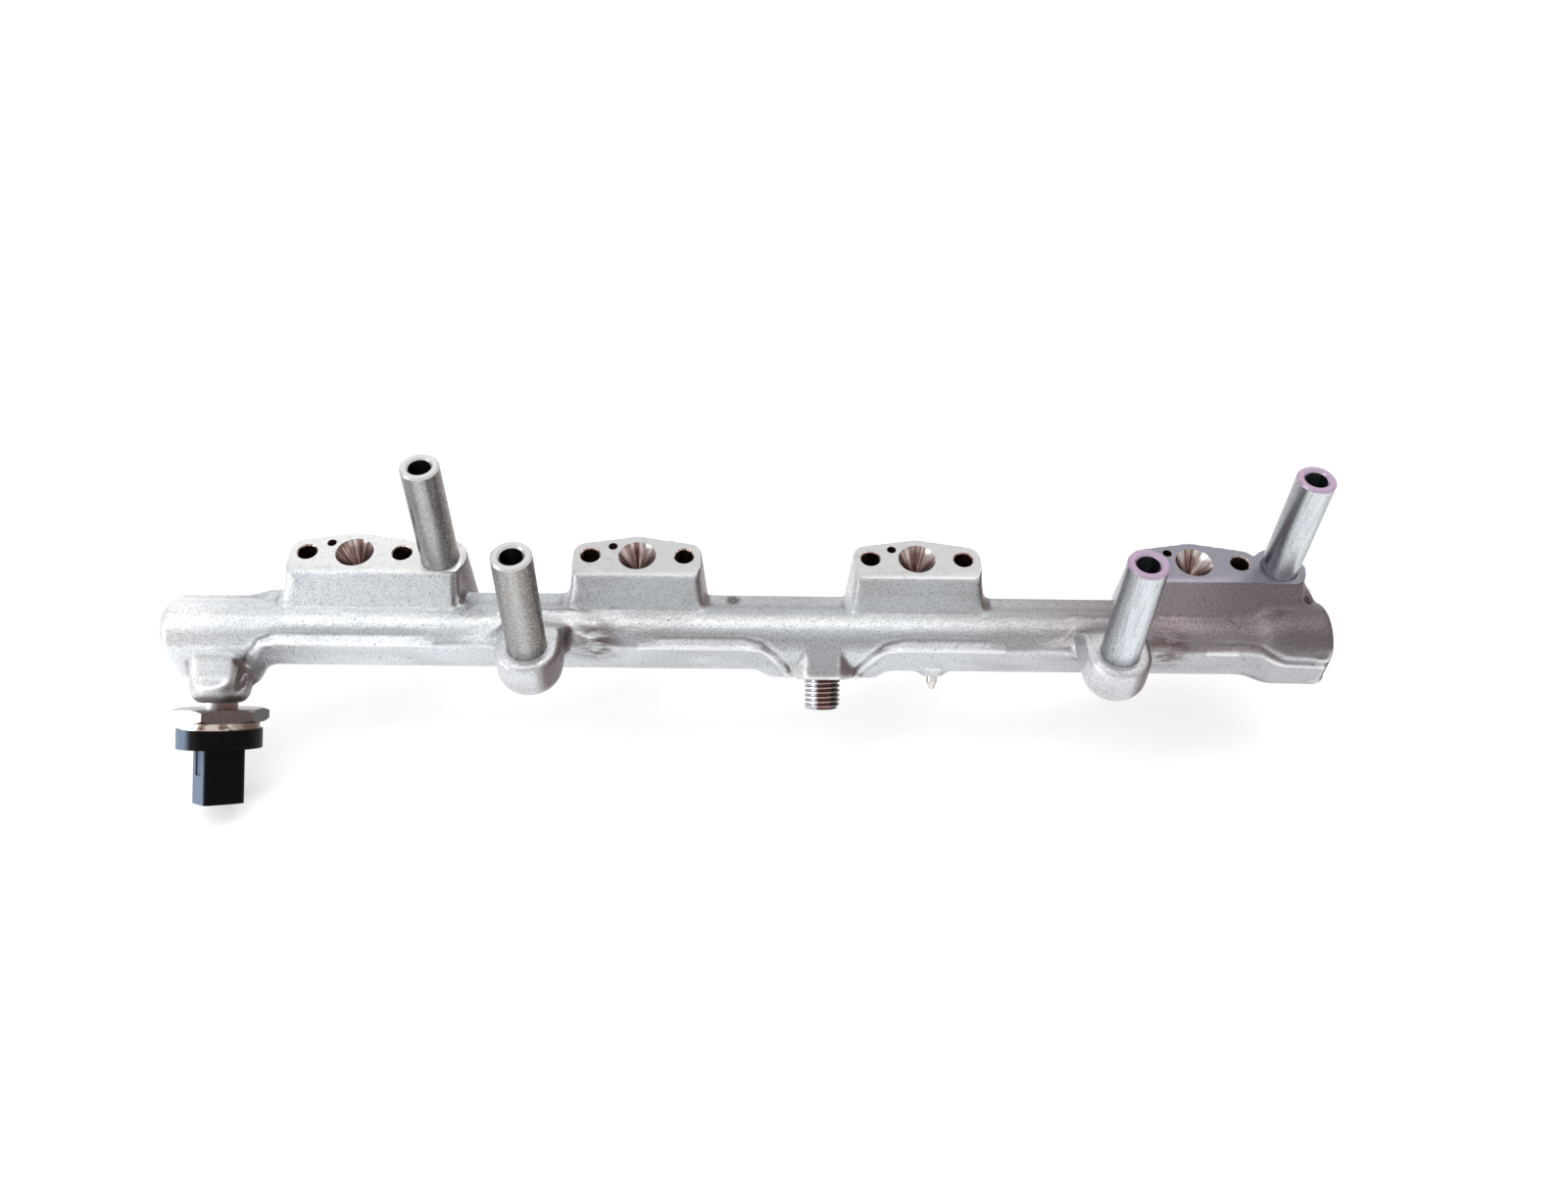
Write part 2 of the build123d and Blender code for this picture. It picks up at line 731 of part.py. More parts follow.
with BuildPart() as sensor_port:
    with BuildSketch(port_section(sensor_x, sensor_fall)):
        with BuildLine():
            Polyline(
                (0, nose_reach),
                (sensor_nose_radius, nose_reach),
                (sensor_nose_radius, thread_reach),
                (sensor_thread_radius, thread_reach),
                (sensor_thread_radius, sensor_boss_reach - neck_length / 2),
                (neck_radius, sensor_boss_reach - neck_length / 2),
                (neck_radius, hexagon_reach + 1),
                (spigot_radius, hexagon_reach + 1),
                (spigot_radius, cell_foot),
                (0, cell_foot),
                close=True,
            )
        make_face()
    revolve(axis=port_axis(sensor_x, sensor_fall))
    with BuildSketch(port_plane(sensor_x, sensor_fall, hexagon_reach)):
        RegularPolygon(hexagon_across_flats / 2, 6, major_radius=False, rotation=hexagon_turn)
    extrude(amount=hexagon_height)
    # the turned chamfer that rounds off the hexagon's corners on both faces
    corner_radius = hexagon_across_flats / sqrt(3)
    with BuildSketch(port_section(sensor_x, sensor_fall)):
        for reach, side in ((hexagon_reach, 1), (flange_reach, -1)):
            with BuildLine():
                Polyline(
                    (corner_radius - 2 * hexagon_chamfer, reach),
                    (corner_radius + 1, reach),
                    (corner_radius + 1, reach + side * hexagon_chamfer * 1.5),
                    close=True,
                )
            make_face()
    revolve(axis=port_axis(sensor_x, sensor_fall), mode=Mode.SUBTRACT)
    with BuildSketch(port_plane(sensor_x, sensor_fall, nose_reach)):
        Circle(sensor_channel_radius)
    extrude(amount=cell_foot - nose_reach, mode=Mode.SUBTRACT)
sensor_port.part.label = "sensor_port"
export_step(sensor_port.part, "parts/sensor_port.step")

with BuildPart() as pressure_cell:
    with BuildSketch(port_plane(sensor_x, sensor_fall, cell_foot)):
        Circle(cell_radius)
    extrude(amount=cell_height)
    with BuildSketch(port_plane(sensor_x, sensor_fall, cell_foot)):
        Circle(cell_pocket_radius)
    extrude(amount=cell_height - cell_membrane, mode=Mode.SUBTRACT)
pressure_cell.part.label = "pressure_cell"
export_step(pressure_cell.part, "parts/pressure_cell.step")

with BuildPart() as sensor_collar:
    with BuildSketch(port_section(sensor_x, sensor_fall)):
        with BuildLine():
            Polyline(
                (spigot_radius, flange_reach),
                (collar_radius, flange_reach),
                (collar_radius, collar_rim),
                (collar_radius - collar_wall, collar_rim),
                (collar_radius - collar_wall, flange_reach + collar_floor),
                (spigot_radius, flange_reach + collar_floor),
                close=True,
            )
        make_face()
    revolve(axis=port_axis(sensor_x, sensor_fall))
sensor_collar.part.label = "sensor_collar"
export_step(sensor_collar.part, "parts/sensor_collar.step")

with BuildPart() as board_support_ring:
    with BuildSketch(port_plane(sensor_x, sensor_fall, flange_reach + collar_floor)):
        Circle(board_radius)
        Circle(board_radius - board_ring_wall, mode=Mode.SUBTRACT)
    extrude(amount=board_reach - flange_reach - collar_floor)
board_support_ring.part.label = "board_support_ring"
export_step(board_support_ring.part, "parts/board_support_ring.step")

with BuildPart() as sensor_circuit_board:
    with BuildSketch(port_plane(sensor_x, sensor_fall, board_reach)):
        Circle(board_radius)
    extrude(amount=board_thickness)
sensor_circuit_board.part.label = "sensor_circuit_board"
export_step(sensor_circuit_board.part, "parts/sensor_circuit_board.step")

with BuildPart() as housing_seal:
    with BuildSketch(port_plane(sensor_x, sensor_fall, collar_rim)):
        Circle(collar_radius)
        Circle(collar_radius - seal_width, mode=Mode.SUBTRACT)
    extrude(amount=seal_thickness)
housing_seal.part.label = "housing_seal"
export_step(housing_seal.part, "parts/housing_seal.step")


def connector_plane(reach):
    """Plane square to the connector, with its own X along the connector's wide side."""
    level = port_plane(sensor_x, sensor_fall, reach)
    wide_side = level.x_dir * cos(radians(connector_turn)) - level.y_dir * sin(radians(connector_turn))
    return Plane(origin=level.origin, x_dir=wide_side, z_dir=level.z_dir)


terminal_places = [((number - 1) * terminal_pitch, 0) for number in range(3)]

with BuildPart() as connector_housing:
    with BuildSketch(port_plane(sensor_x, sensor_fall, connector_foot)):
        Circle(housing_radius)
    extrude(amount=-skirt_depth)
    with BuildSketch(port_plane(sensor_x, sensor_fall, roof_reach)):
        Circle(collar_radius)
    extrude(amount=housing_roof - skirt_depth, mode=Mode.SUBTRACT)
    with BuildSketch(connector_plane(connector_foot)):
        RectangleRounded(connector_width, connector_depth, connector_corner)
    extrude(amount=connector_height)
    with BuildSketch(connector_plane(connector_foot + connector_floor)):
        RectangleRounded(
            connector_width - 2 * connector_wall,
            connector_depth - 2 * connector_wall,
            connector_corner - connector_wall,
        )
    extrude(amount=connector_height, mode=Mode.SUBTRACT)
    # guide grooves on the two narrow sides, beside the ring
    with BuildSketch(connector_plane(connector_foot)):
        with Locations((-connector_width / 2, 0), (connector_width / 2, 0)):
            Rectangle(2 * guide_depth, guide_width)
    extrude(amount=guide_length, mode=Mode.SUBTRACT)
    # slots of the three terminals
    with BuildSketch(connector_plane(roof_reach)):
        with Locations(*terminal_places):
            Rectangle(terminal_width, terminal_thickness)
    extrude(amount=housing_roof + connector_floor, mode=Mode.SUBTRACT)
connector_housing.part.label = "connector_housing"
export_step(connector_housing.part, "parts/connector_housing.step")

for number, place in enumerate(terminal_places, start=1):
    with BuildPart() as sensor_terminal:
        with BuildSketch(connector_plane(board_reach + board_thickness)):
            with Locations(place):
                Rectangle(terminal_width, terminal_thickness)
        extrude(amount=terminal_tip - board_reach - board_thickness)
    sensor_terminal.part.label = f"sensor_terminal_{number}"
    export_step(sensor_terminal.part, f"parts/sensor_terminal_{number}.step")
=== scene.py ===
"""Dresses a forged fuel rail: its forging, its threads, the finish of every piece, and a plain studio."""

import math

import bmesh
import bpy
from bpy.props import (
    FloatProperty,
    FloatVectorProperty,
    IntProperty,
    PointerProperty,
)
from mathutils import Matrix, Vector


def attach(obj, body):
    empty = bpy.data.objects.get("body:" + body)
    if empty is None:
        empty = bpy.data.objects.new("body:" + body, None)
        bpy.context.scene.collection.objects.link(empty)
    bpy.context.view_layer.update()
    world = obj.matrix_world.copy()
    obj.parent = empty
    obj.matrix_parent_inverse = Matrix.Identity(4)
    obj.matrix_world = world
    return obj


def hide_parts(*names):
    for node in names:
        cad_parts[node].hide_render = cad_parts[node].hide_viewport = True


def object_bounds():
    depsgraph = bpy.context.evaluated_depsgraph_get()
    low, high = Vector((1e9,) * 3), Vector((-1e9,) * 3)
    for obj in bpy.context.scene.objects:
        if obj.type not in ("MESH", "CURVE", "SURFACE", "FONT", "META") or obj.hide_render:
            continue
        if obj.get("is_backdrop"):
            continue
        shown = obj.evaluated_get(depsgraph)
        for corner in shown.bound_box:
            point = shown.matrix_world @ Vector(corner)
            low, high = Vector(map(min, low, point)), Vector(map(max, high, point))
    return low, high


bl_info = {
    "name": "Fuel rail dressing",
    "version": (1, 0, 0),
    "blender": (4, 5, 0),
    "location": "3D View > Sidebar > Fuel rail",
    "description": "Makes the forging, the threads and the finishes of a fuel rail",
    "category": "Object",
}

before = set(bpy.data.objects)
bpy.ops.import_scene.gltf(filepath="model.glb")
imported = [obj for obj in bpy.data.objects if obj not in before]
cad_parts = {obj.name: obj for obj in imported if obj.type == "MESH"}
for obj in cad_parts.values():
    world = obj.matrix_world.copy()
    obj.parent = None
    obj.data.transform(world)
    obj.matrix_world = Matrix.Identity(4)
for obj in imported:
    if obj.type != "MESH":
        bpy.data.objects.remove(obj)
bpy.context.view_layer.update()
MM = 0.001

# Places on the rail, in millimetres in the rail's frame.
PAD_X = (0.0, 90.0, 180.0, 270.0)
BACK_BOSSES = ((27.4, -1.7), (297.4, -1.7))
FRONT_LUGS = ((59.3, -38.0), (239.3, -38.0))
RAIL_AXIS = Vector((0.0, -18.0, -18.3))
RAIL_RIGHT = 311.5
INLET_X = 149.7
SENSOR_X = -42.2
INLET_FALL = 45.0
SENSOR_FALL = 41.0

# Profiles of the cut holes: (radius, height) from axis to axis.
SEAT_PROFILE = ((0, -12), (1.5, -11.6), (1.5, -7.8), (6.0, 0), (6.6, 1), (0, 1))
SCREW_PROFILE = ((0, -14), (3.0, -12.8), (3.0, -0.35), (3.35, 0), (3.35, 1), (0, 1))
SLEEVE_PROFILE = ((0, -30), (7.0, -30), (7.0, -15), (3.4, -15), (3.4, -8), (6.1, -8), (6.1, 2), (0, 2))
SCREW_SIDES = (-15, 15)
INDEX_HOLE = (-8, 4)

# Blends at the feet of the pads.
SHELF_TOP = -9.2
SHELF_BACK = -7.7
FOOT_RADIUS = 4.4
PAD_HALF = 20.6
PAD_WITH_BOSS_HALF = 33.6
FOOT_SINK = 1.2
THICK_END_BLEND = ((302, -2.2), (305.6, -3.2), (308.4, -6.6), (310.8, -10.5), (302, -13))

# Faces' finishes, in the order of the forging's materials.
FORGED, MILLED, SEAT, BORED = range(4)


def port_direction(fall):
    """Direction of a port that leaves the bar to the front, this far below the horizontal."""
    angle = math.radians(fall)
    return Vector((0.0, -math.cos(angle), -math.sin(angle)))


def along_port(x, fall, reach):
    """Point on a port's axis, this far from the bar's axis."""
    return Vector((x, RAIL_AXIS.y, RAIL_AXIS.z)) + reach * port_direction(fall)


# ---------------------------------------------------------------- settings
class RailSizes(bpy.types.PropertyGroup):
    """Sizes of what is made here."""

    grain_size: FloatProperty(
        name="Forging cell",
        description="Size of the cells that the forging's soft forms are made from",
        default=0.75 * MM,
        min=0.4 * MM,
        max=3 * MM,
        unit="LENGTH",
    )
    softening: IntProperty(
        name="Softening",
        description="How often the forging's surface is evened out",
        default=6,
        min=0,
        max=40,
    )
    machining_stock: FloatProperty(
        name="Machining stock",
        description="What the pads stand above their finished faces before they are cut",
        default=0.5 * MM,
        unit="LENGTH",
    )
    thread_pitch: FloatProperty(
        name="Thread pitch",
        description="Pitch of the inlet's thread",
        default=1.5 * MM,
        unit="LENGTH",
    )
    thread_depth: FloatProperty(
        name="Thread depth",
        description="Depth of the inlet's thread",
        default=0.75 * MM,
        unit="LENGTH",
    )


class RailColours(bpy.types.PropertyGroup):
    """Colours of the finishes."""

    forging: FloatVectorProperty(
        name="Forging", description="Blasted forging", subtype="COLOR", default=(0.45, 0.465, 0.48)
    )
    forging_warm: FloatVectorProperty(
        name="Forging, warm end",
        description="Blasted forging towards the thick end",
        subtype="COLOR",
        default=(0.245, 0.205, 0.22),
    )
    milled: FloatVectorProperty(
        name="Milled face", description="Milled pad faces", subtype="COLOR", default=(0.54, 0.545, 0.545)
    )
    bored: FloatVectorProperty(
        name="Bored wall", description="Walls of the holes", subtype="COLOR", default=(0.55, 0.38, 0.34)
    )
    turned: FloatVectorProperty(
        name="Turned steel", description="Fixing sleeves", subtype="COLOR", default=(0.31, 0.303, 0.295)
    )
    oil: FloatVectorProperty(
        name="Oil", description="Dried oil in holes and corners", subtype="COLOR", default=(0.24, 0.13, 0.10)
    )
    plastic: FloatVectorProperty(
        name="Black plastic", description="Connector", subtype="COLOR", default=(0.003, 0.0022, 0.0025)
    )


def sizes():
    """The sizes in use."""
    return bpy.context.scene.rail_sizes


def colours():
    """The colours in use."""
    return bpy.context.scene.rail_colours


# ---------------------------------------------------------------- mesh making
def turned_solid(bm, profile, start, direction, segments=48):
    """Adds a closed solid of revolution; the profile gives (radius, reach) from axis to axis."""
    turn = Vector((0, 0, 1)).rotation_difference(Vector(direction)).to_matrix().to_4x4()
    place = Matrix.Translation(Vector(start)) @ turn
    rings = []
    for radius, reach in profile:
        if radius == 0:
            rings.append([bm.verts.new(place @ Vector((0, 0, reach)))])
            continue
        rings.append(
            [
                bm.verts.new(
                    place
                    @ Vector(
                        (
                            radius * math.cos(2 * math.pi * step / segments),
                            radius * math.sin(2 * math.pi * step / segments),
                            reach,
                        )
                    )
                )
                for step in range(segments)
            ]
        )
    for low, high in zip(rings, rings[1:]):
        for step in range(segments):
            after = (step + 1) % segments
            corners = [low[step % len(low)], low[after % len(low)]]
            corners += [high[after % len(high)], high[step % len(high)]]
            bm.faces.new(list(dict.fromkeys(corners)))


def rod(bm, radius, start, end, segments=48):
    """Adds a closed round rod between two points."""
    run = Vector(end) - Vector(start)
    turned_solid(bm, [(0, 0), (radius, 0), (radius, run.length), (0, run.length)], start, run, segments)


def block(bm, low, high):
    """Adds a closed box between two corners."""
    low, high = Vector(low), Vector(high)
    place = Matrix.Translation((low + high) / 2) @ Matrix.Diagonal((*(high - low), 1))
    bmesh.ops.create_cube(bm, size=1, matrix=place)


def web(bm, outline, back, front):
    """Adds a closed web; its outline is in x and z, and its front follows a slope given by front(z)."""
    near = [bm.verts.new((x, front(z), z)) for x, z in outline]
    far = [bm.verts.new((x, back, z)) for x, z in outline]
    bm.faces.new(near)
    bm.faces.new(far)
    for step in range(len(outline)):
        after = (step + 1) % len(outline)
        bm.faces.new((near[step], near[after], far[after], far[step]))


def new_piece(name, bm, scale=MM):
    """Turns what is drawn in millimetres into an object in metres."""
    bmesh.ops.recalc_face_normals(bm, faces=bm.faces)
    bmesh.ops.scale(bm, vec=(scale, scale, scale), verts=bm.verts)
    mesh = bpy.data.meshes.new(name)
    bm.to_mesh(mesh)
    bm.free()
    piece = bpy.data.objects.new(name, mesh)
    bpy.context.scene.collection.objects.link(piece)
    return piece


def bake_modifiers(piece):
    """Applies a piece's modifiers to its mesh."""
    bpy.context.view_layer.update()
    shaped = piece.evaluated_get(bpy.context.evaluated_depsgraph_get())
    mesh = bpy.data.meshes.new_from_object(shaped)
    piece.modifiers.clear()
    old = piece.data
    piece.data = mesh
    bpy.data.meshes.remove(old)


def cut(piece, tool):
    """Cuts a tool's closed solids out of a piece, and throws the tool away."""
    modifier = piece.modifiers.new("cut", "BOOLEAN")
    modifier.operation = "DIFFERENCE"
    modifier.solver = "MANIFOLD"
    modifier.object = tool
    bake_modifiers(piece)
    mesh = tool.data
    bpy.data.objects.remove(tool)
    bpy.data.meshes.remove(mesh)


def forging_blank(node, stock):
    """The body as it leaves the forge: pads left high, and no holes."""
    bm = bmesh.new()
    bm.from_mesh(node.data)
    bmesh.ops.remove_doubles(bm, verts=bm.verts, dist=0.002 * MM)
    for vert in bm.verts:
        if vert.co.z > -0.01 * MM and vert.co.y > -10 * MM:
            vert.co.z += stock
            if vert.co.y < -8.8 * MM:
                vert.co.y += stock
    bmesh.ops.scale(bm, vec=(1 / MM,) * 3, verts=bm.verts)
    top = stock / MM
    for x in PAD_X:
        rod(bm, 6.3, (x, 0, -12.6), (x, 0, top))
        rod(bm, 1.9, (x + INDEX_HOLE[0], INDEX_HOLE[1], -6.6), (x + INDEX_HOLE[0], INDEX_HOLE[1], top))
        for side in SCREW_SIDES:
            rod(bm, 3.3, (x + side, 0, -14.6), (x + side, 0, top))
    for x, y in BACK_BOSSES:
        rod(bm, 6.4, (x, y, -16), (x, y, top))
        rod(bm, 7.3, (x, y, -22.9), (x, y, -14))
    for x, y in FRONT_LUGS:
        rod(bm, 6.7, (x, y, -9), (x, y, 0))
        rod(bm, 3.8, (x, y, -15), (x, y, -8))
    rod(bm, 5.4, along_port(INLET_X, INLET_FALL, 4), along_port(INLET_X, INLET_FALL, 12.9))
    rod(bm, 6.3, along_port(SENSOR_X, SENSOR_FALL, 8), along_port(SENSOR_X, SENSOR_FALL, 22.9))
    rod(bm, 8.4, (RAIL_RIGHT - 24, *RAIL_AXIS.yz), (RAIL_RIGHT, *RAIL_AXIS.yz))
    foot_flares(bm)
    inlet_facets(bm)
    return new_piece("forged_body", bm)


def pad_slope(height):
    """How far forward a blend reaches where it follows the pads' sloping front."""
    return height - 8.9


def boss_side(_height):
    """How far forward a blend reaches beside a back boss."""
    return -9.2


def boss_blend_front(_height):
    """How far forward the blend from the last back boss to the thick end reaches."""
    return -9.0


def foot_flares(bm):
    """Adds the wide blends from the pads' ends down to the bar's shelf and to the thick end."""
    low, high = SHELF_TOP - FOOT_SINK, SHELF_TOP + FOOT_RADIUS
    for pad, side, half, front in (
        (PAD_X[0], -1, PAD_HALF, pad_slope),
        (PAD_X[0], 1, PAD_WITH_BOSS_HALF, boss_side),
        (PAD_X[1], -1, PAD_HALF, pad_slope),
        (PAD_X[1], 1, PAD_HALF, pad_slope),
        (PAD_X[2], -1, PAD_HALF, pad_slope),
        (PAD_X[2], 1, PAD_HALF, pad_slope),
        (PAD_X[3], -1, PAD_HALF, pad_slope),
    ):
        arc = [(half - 1.5, low), (half - 1.5, high)]
        for step in range(9):
            turn = math.radians(180 + 90 * step / 8)
            arc.append((half + FOOT_RADIUS + FOOT_RADIUS * math.cos(turn), high + FOOT_RADIUS * math.sin(turn)))
        arc.append((half + FOOT_RADIUS, low))
        web(bm, [(pad + side * x, z) for x, z in arc], SHELF_BACK, front)
    web(bm, THICK_END_BLEND, -4.5, boss_blend_front)


def inlet_facets(bm):
    """Adds the slanting facet on each side of the inlet's block."""
    for side in (-1, 1):
        corners = ((4.6, -29.2, -18.8), (6.0, -32.1, -23.4), (12.6, -28.8, -26.2), (2.0, -23.0, -24.0))
        verts = [bm.verts.new((INLET_X + side * x, y, z)) for x, y, z in corners]
        for skipped in range(4):
            bm.faces.new([vert for number, vert in enumerate(verts) if number != skipped])


def lower_gussets(piece):
    """Lets the webs beside the front lugs fall away to the bar's round."""
    bar, kept_to, faded_over, reach = 10.6, 11.0, 5.5, 42
    for vert in piece.data.vertices:
        x, y, z = vert.co / MM
        out_y, out_z = y - RAIL_AXIS.y, z - RAIL_AXIS.z
        out = math.hypot(out_y, out_z)
        if not -26.6 < y < -18 or z < -11.6 or out < bar:
            continue
        for lug_x, lug_y in FRONT_LUGS:
            away = math.hypot(x - lug_x, y - lug_y)
            if not kept_to < away < reach:
                continue
            keep = min(1.0, max(0.12, 1 - (away - kept_to) / faded_over))
            new = bar + (out - bar) * keep
            vert.co.y = (RAIL_AXIS.y + out_y * new / out) * MM
            vert.co.z = (RAIL_AXIS.z + out_z * new / out) * MM


# Upper edge of the parting land in x and z: beside the sensor, on both sides of the inlet, at the thick end.
LAND_EDGES = (
    ((28, -12.3), (-22, -12.3), (-26.5, -13.6), (-29.8, -17.5), (-32.2, -22), (-33, -25)),
    ((90, -12.3), (124, -12.3), (129.5, -13.2), (133.2, -16), (136, -20), (138.6, -24.5)),
    ((209, -12.3), (175.4, -12.3), (169.9, -13.2), (166.2, -16), (163.4, -20), (160.8, -24.5)),
    ((268, -12.3), (289, -12.6), (296, -14.5), (308, -15)),
)


def roll_land_edges(piece, roll=0.3, groove=0.4):
    """Raises a soft roll along the parting land's upper edge, with a groove on its upper side."""
    runs = []
    for line in LAND_EDGES:
        upper_side = 1 if line[-1][0] > line[0][0] else -1
        for number, ((x1, z1), (x2, z2)) in enumerate(zip(line, line[1:])):
            length = math.hypot(x2 - x1, z2 - z1)
            runs.append((x1, z1, x2 - x1, z2 - z1, length, upper_side, number == 0))
    for vert in piece.data.vertices:
        x, y, z = vert.co.x / MM, vert.co.y / MM, vert.co.z / MM
        if y > -23.5 or not -27 < z < -8:
            continue
        best, across, start = 4.0, 0.0, 1.0
        for x1, z1, run_x, run_z, length, upper_side, first in runs:
            if not min(x1, x1 + run_x) - 4 < x < max(x1, x1 + run_x) + 4:
                continue
            share = max(0.0, min(1.0, ((x - x1) * run_x + (z - z1) * run_z) / length**2))
            gap_x, gap_z = x - x1 - run_x * share, z - z1 - run_z * share
            gap = math.hypot(gap_x, gap_z)
            if gap < best:
                best = gap
                across = gap * upper_side * (1 if run_x * gap_z - run_z * gap_x > 0 else -1)
                start = min(1.0, share * length / 9) if first else 1.0
        if best < 4:
            rise = roll * math.exp(-(((across + 0.3) / 0.9) ** 2))
            rise -= groove * math.exp(-(((across - 1.6) / 0.75) ** 2))
            vert.co += vert.normal * rise * start * MM


def soften(piece, cell, rounds):
    """Melts a piece into one skin of even cells and evens it out, so its corners blend."""
    remesh = piece.modifiers.new("skin", "REMESH")
    remesh.mode = "VOXEL"
    remesh.voxel_size = cell
    remesh.adaptivity = 0
    if rounds:
        even = piece.modifiers.new("even", "SMOOTH")
        even.factor = 0.5
        even.iterations = rounds
    bake_modifiers(piece)


def from_pad(x):
    """Distance along the rail from the nearest pad's middle."""
    return min(abs(x - pad) for pad in PAD_X)


def from_lugs(x, y):
    """Distances from the front lugs' axes."""
    return [math.hypot(x - lug_x, y - lug_y) for lug_x, lug_y in FRONT_LUGS]


# Where the forging is evened out further, how often, and a test of a place in millimetres.
SOFT_ZONES = (
    ("pads' front edges", 14, lambda x, y, z: z > -4.5 and -13.5 < y < -5.5 and from_pad(x) < 22),
    ("pads' front corners", 14, lambda x, y, z: -9.5 < z < -1 and -17 < y < -4 and 17.5 < from_pad(x) < 23),
    ("thick end", 25, lambda x, y, z: 281 < x < 306 and z < -3),
    ("inlet's block", 6, lambda x, y, z: abs(x - INLET_X) < 15 and y < -24.5 and z < -17),
    ("lugs' webs", 16, lambda x, y, z: y < -17 and -19 < z and any(11.0 < away < 34 for away in from_lugs(x, y))),
)


def soften_zones(piece):
    """Evens out the forging further where its blends are wide."""
    bm = bmesh.new()
    bm.from_mesh(piece.data)
    places = [(vert, vert.co / MM) for vert in bm.verts]
    zones = [(rounds, [vert for vert, place in places if inside(*place)]) for _, rounds, inside in SOFT_ZONES]
    for rounds, verts in zones:
        for _ in range(rounds):
            bmesh.ops.smooth_vert(bm, verts=verts, factor=0.5, use_axis_x=True, use_axis_y=True, use_axis_z=True)
    bm.to_mesh(piece.data)
    bm.free()


def machine(piece):
    """Cuts the pad faces, the seats and all holes into the forging."""
    bm = bmesh.new()
    for x in PAD_X:
        block(bm, (x - 32, -20, 0), (x + 40, 20, 10))
    cut(piece, new_piece("face_cutter", bm))
    bm = bmesh.new()
    up = (0, 0, 1)
    for x in PAD_X:
        index_x, index_y = x + INDEX_HOLE[0], INDEX_HOLE[1]
        turned_solid(bm, SEAT_PROFILE, (x, 0, 0), up, 72)
        rod(bm, 1.5, (index_x, index_y, -6), (index_x, index_y, 1), 32)
        for side in SCREW_SIDES:
            turned_solid(bm, SCREW_PROFILE, (x + side, 0, 0), up)
    for x, y in BACK_BOSSES + FRONT_LUGS:
        turned_solid(bm, SLEEVE_PROFILE, (x, y, 0), up, 72)
    rod(bm, 6.3, along_port(SENSOR_X, SENSOR_FALL, 22.2), along_port(SENSOR_X, SENSOR_FALL, 30))
    rod(bm, 8.0, (RAIL_RIGHT - 11.5, *RAIL_AXIS.yz), (RAIL_RIGHT + 5, *RAIL_AXIS.yz), 64)
    cut(piece, new_piece("hole_cutter", bm))


def finish_at(centre, normal):
    """The finish of a face of the forging, from its centre in millimetres and its normal."""
    found = FORGED
    if abs(centre.z) < 0.02 and normal.z > 0.99 and centre.y > -12:
        found = MILLED
    for x in PAD_X:
        if math.hypot(centre.x - x, centre.y) < 6.01 and -12.1 < centre.z < -0.02:
            found = SEAT
        holes = [(x + INDEX_HOLE[0], INDEX_HOLE[1], 1.5, 6)] + [(x + side, 0, 3.4, 14) for side in SCREW_SIDES]
        for hole_x, hole_y, radius, depth in holes:
            away = math.hypot(centre.x - hole_x, centre.y - hole_y)
            if away < radius and -depth - 0.1 < centre.z < -0.02:
                found = BORED
    for x, y in BACK_BOSSES + FRONT_LUGS:
        out = math.hypot(centre.x - x, centre.y - y)
        inside = out < 6.7 and centre.z > -14.9 or out < 7.02 and centre.z < -14.9
        if inside and (centre.z < -0.3 or normal.z < 0.9):
            found = BORED
    if centre.x > RAIL_RIGHT - 12 and math.hypot(centre.y - RAIL_AXIS.y, centre.z - RAIL_AXIS.z) < 8.01:
        found = BORED
    return found


def sort_surfaces(piece):
    """Gives each face of the forging its finish, and keeps machined edges sharp."""
    mesh = piece.data
    for face in mesh.polygons:
        face.material_index = finish_at(face.center / MM, face.normal)
    mesh.shade_smooth()
    mesh.set_sharp_from_angle(angle=math.radians(38))


def inlet_thread_mesh(pitch, depth):
    """The inlet stub with the turns of its thread, its rim and the cone in its end, in millimetres."""
    bm = bmesh.new()
    foot, tip, outside = 12.0, 22.9, 6.0
    segments, rows = 72, 104
    start = 13.2
    end = tip - 0.8
    rings = []

    def ring(radius_at, reach_at):
        rings.append(
            [
                bm.verts.new(
                    (
                        radius_at(step / segments) * math.cos(2 * math.pi * step / segments),
                        radius_at(step / segments) * math.sin(2 * math.pi * step / segments),
                        reach_at,
                    )
                )
                for step in range(segments)
            ]
        )

    ring(lambda share: outside - depth, foot)
    for row in range(rows + 1):
        reach = start + (end - start) * row / rows

        def radius(share, reach=reach):
            turn = ((reach - start) / pitch - share) % 1.0
            crest = min(1.0, max(0.0, 1.6 - abs(turn - 0.5) * 4.2))
            fade = min(1.0, (end - reach) / 0.7 + 0.15)
            return outside - depth + depth * crest * fade

        ring(radius, reach)
    for radius, reach in ((5.1, tip - 0.15), (4.9, tip), (4.4, tip), (2.0, tip - 4.2), (2.0, foot)):
        ring(lambda share, radius=radius: radius, reach)
    rings.append(rings[0])
    for low, high in zip(rings, rings[1:]):
        for step in range(segments):
            after = (step + 1) % segments
            bm.faces.new((low[step], low[after], high[after], high[step]))
    turn = Vector((0, 0, 1)).rotation_difference(port_direction(INLET_FALL)).to_matrix().to_4x4()
    place = Matrix.Translation((INLET_X, RAIL_AXIS.y, RAIL_AXIS.z)) @ turn
    bmesh.ops.transform(bm, matrix=place, verts=bm.verts)
    return bm


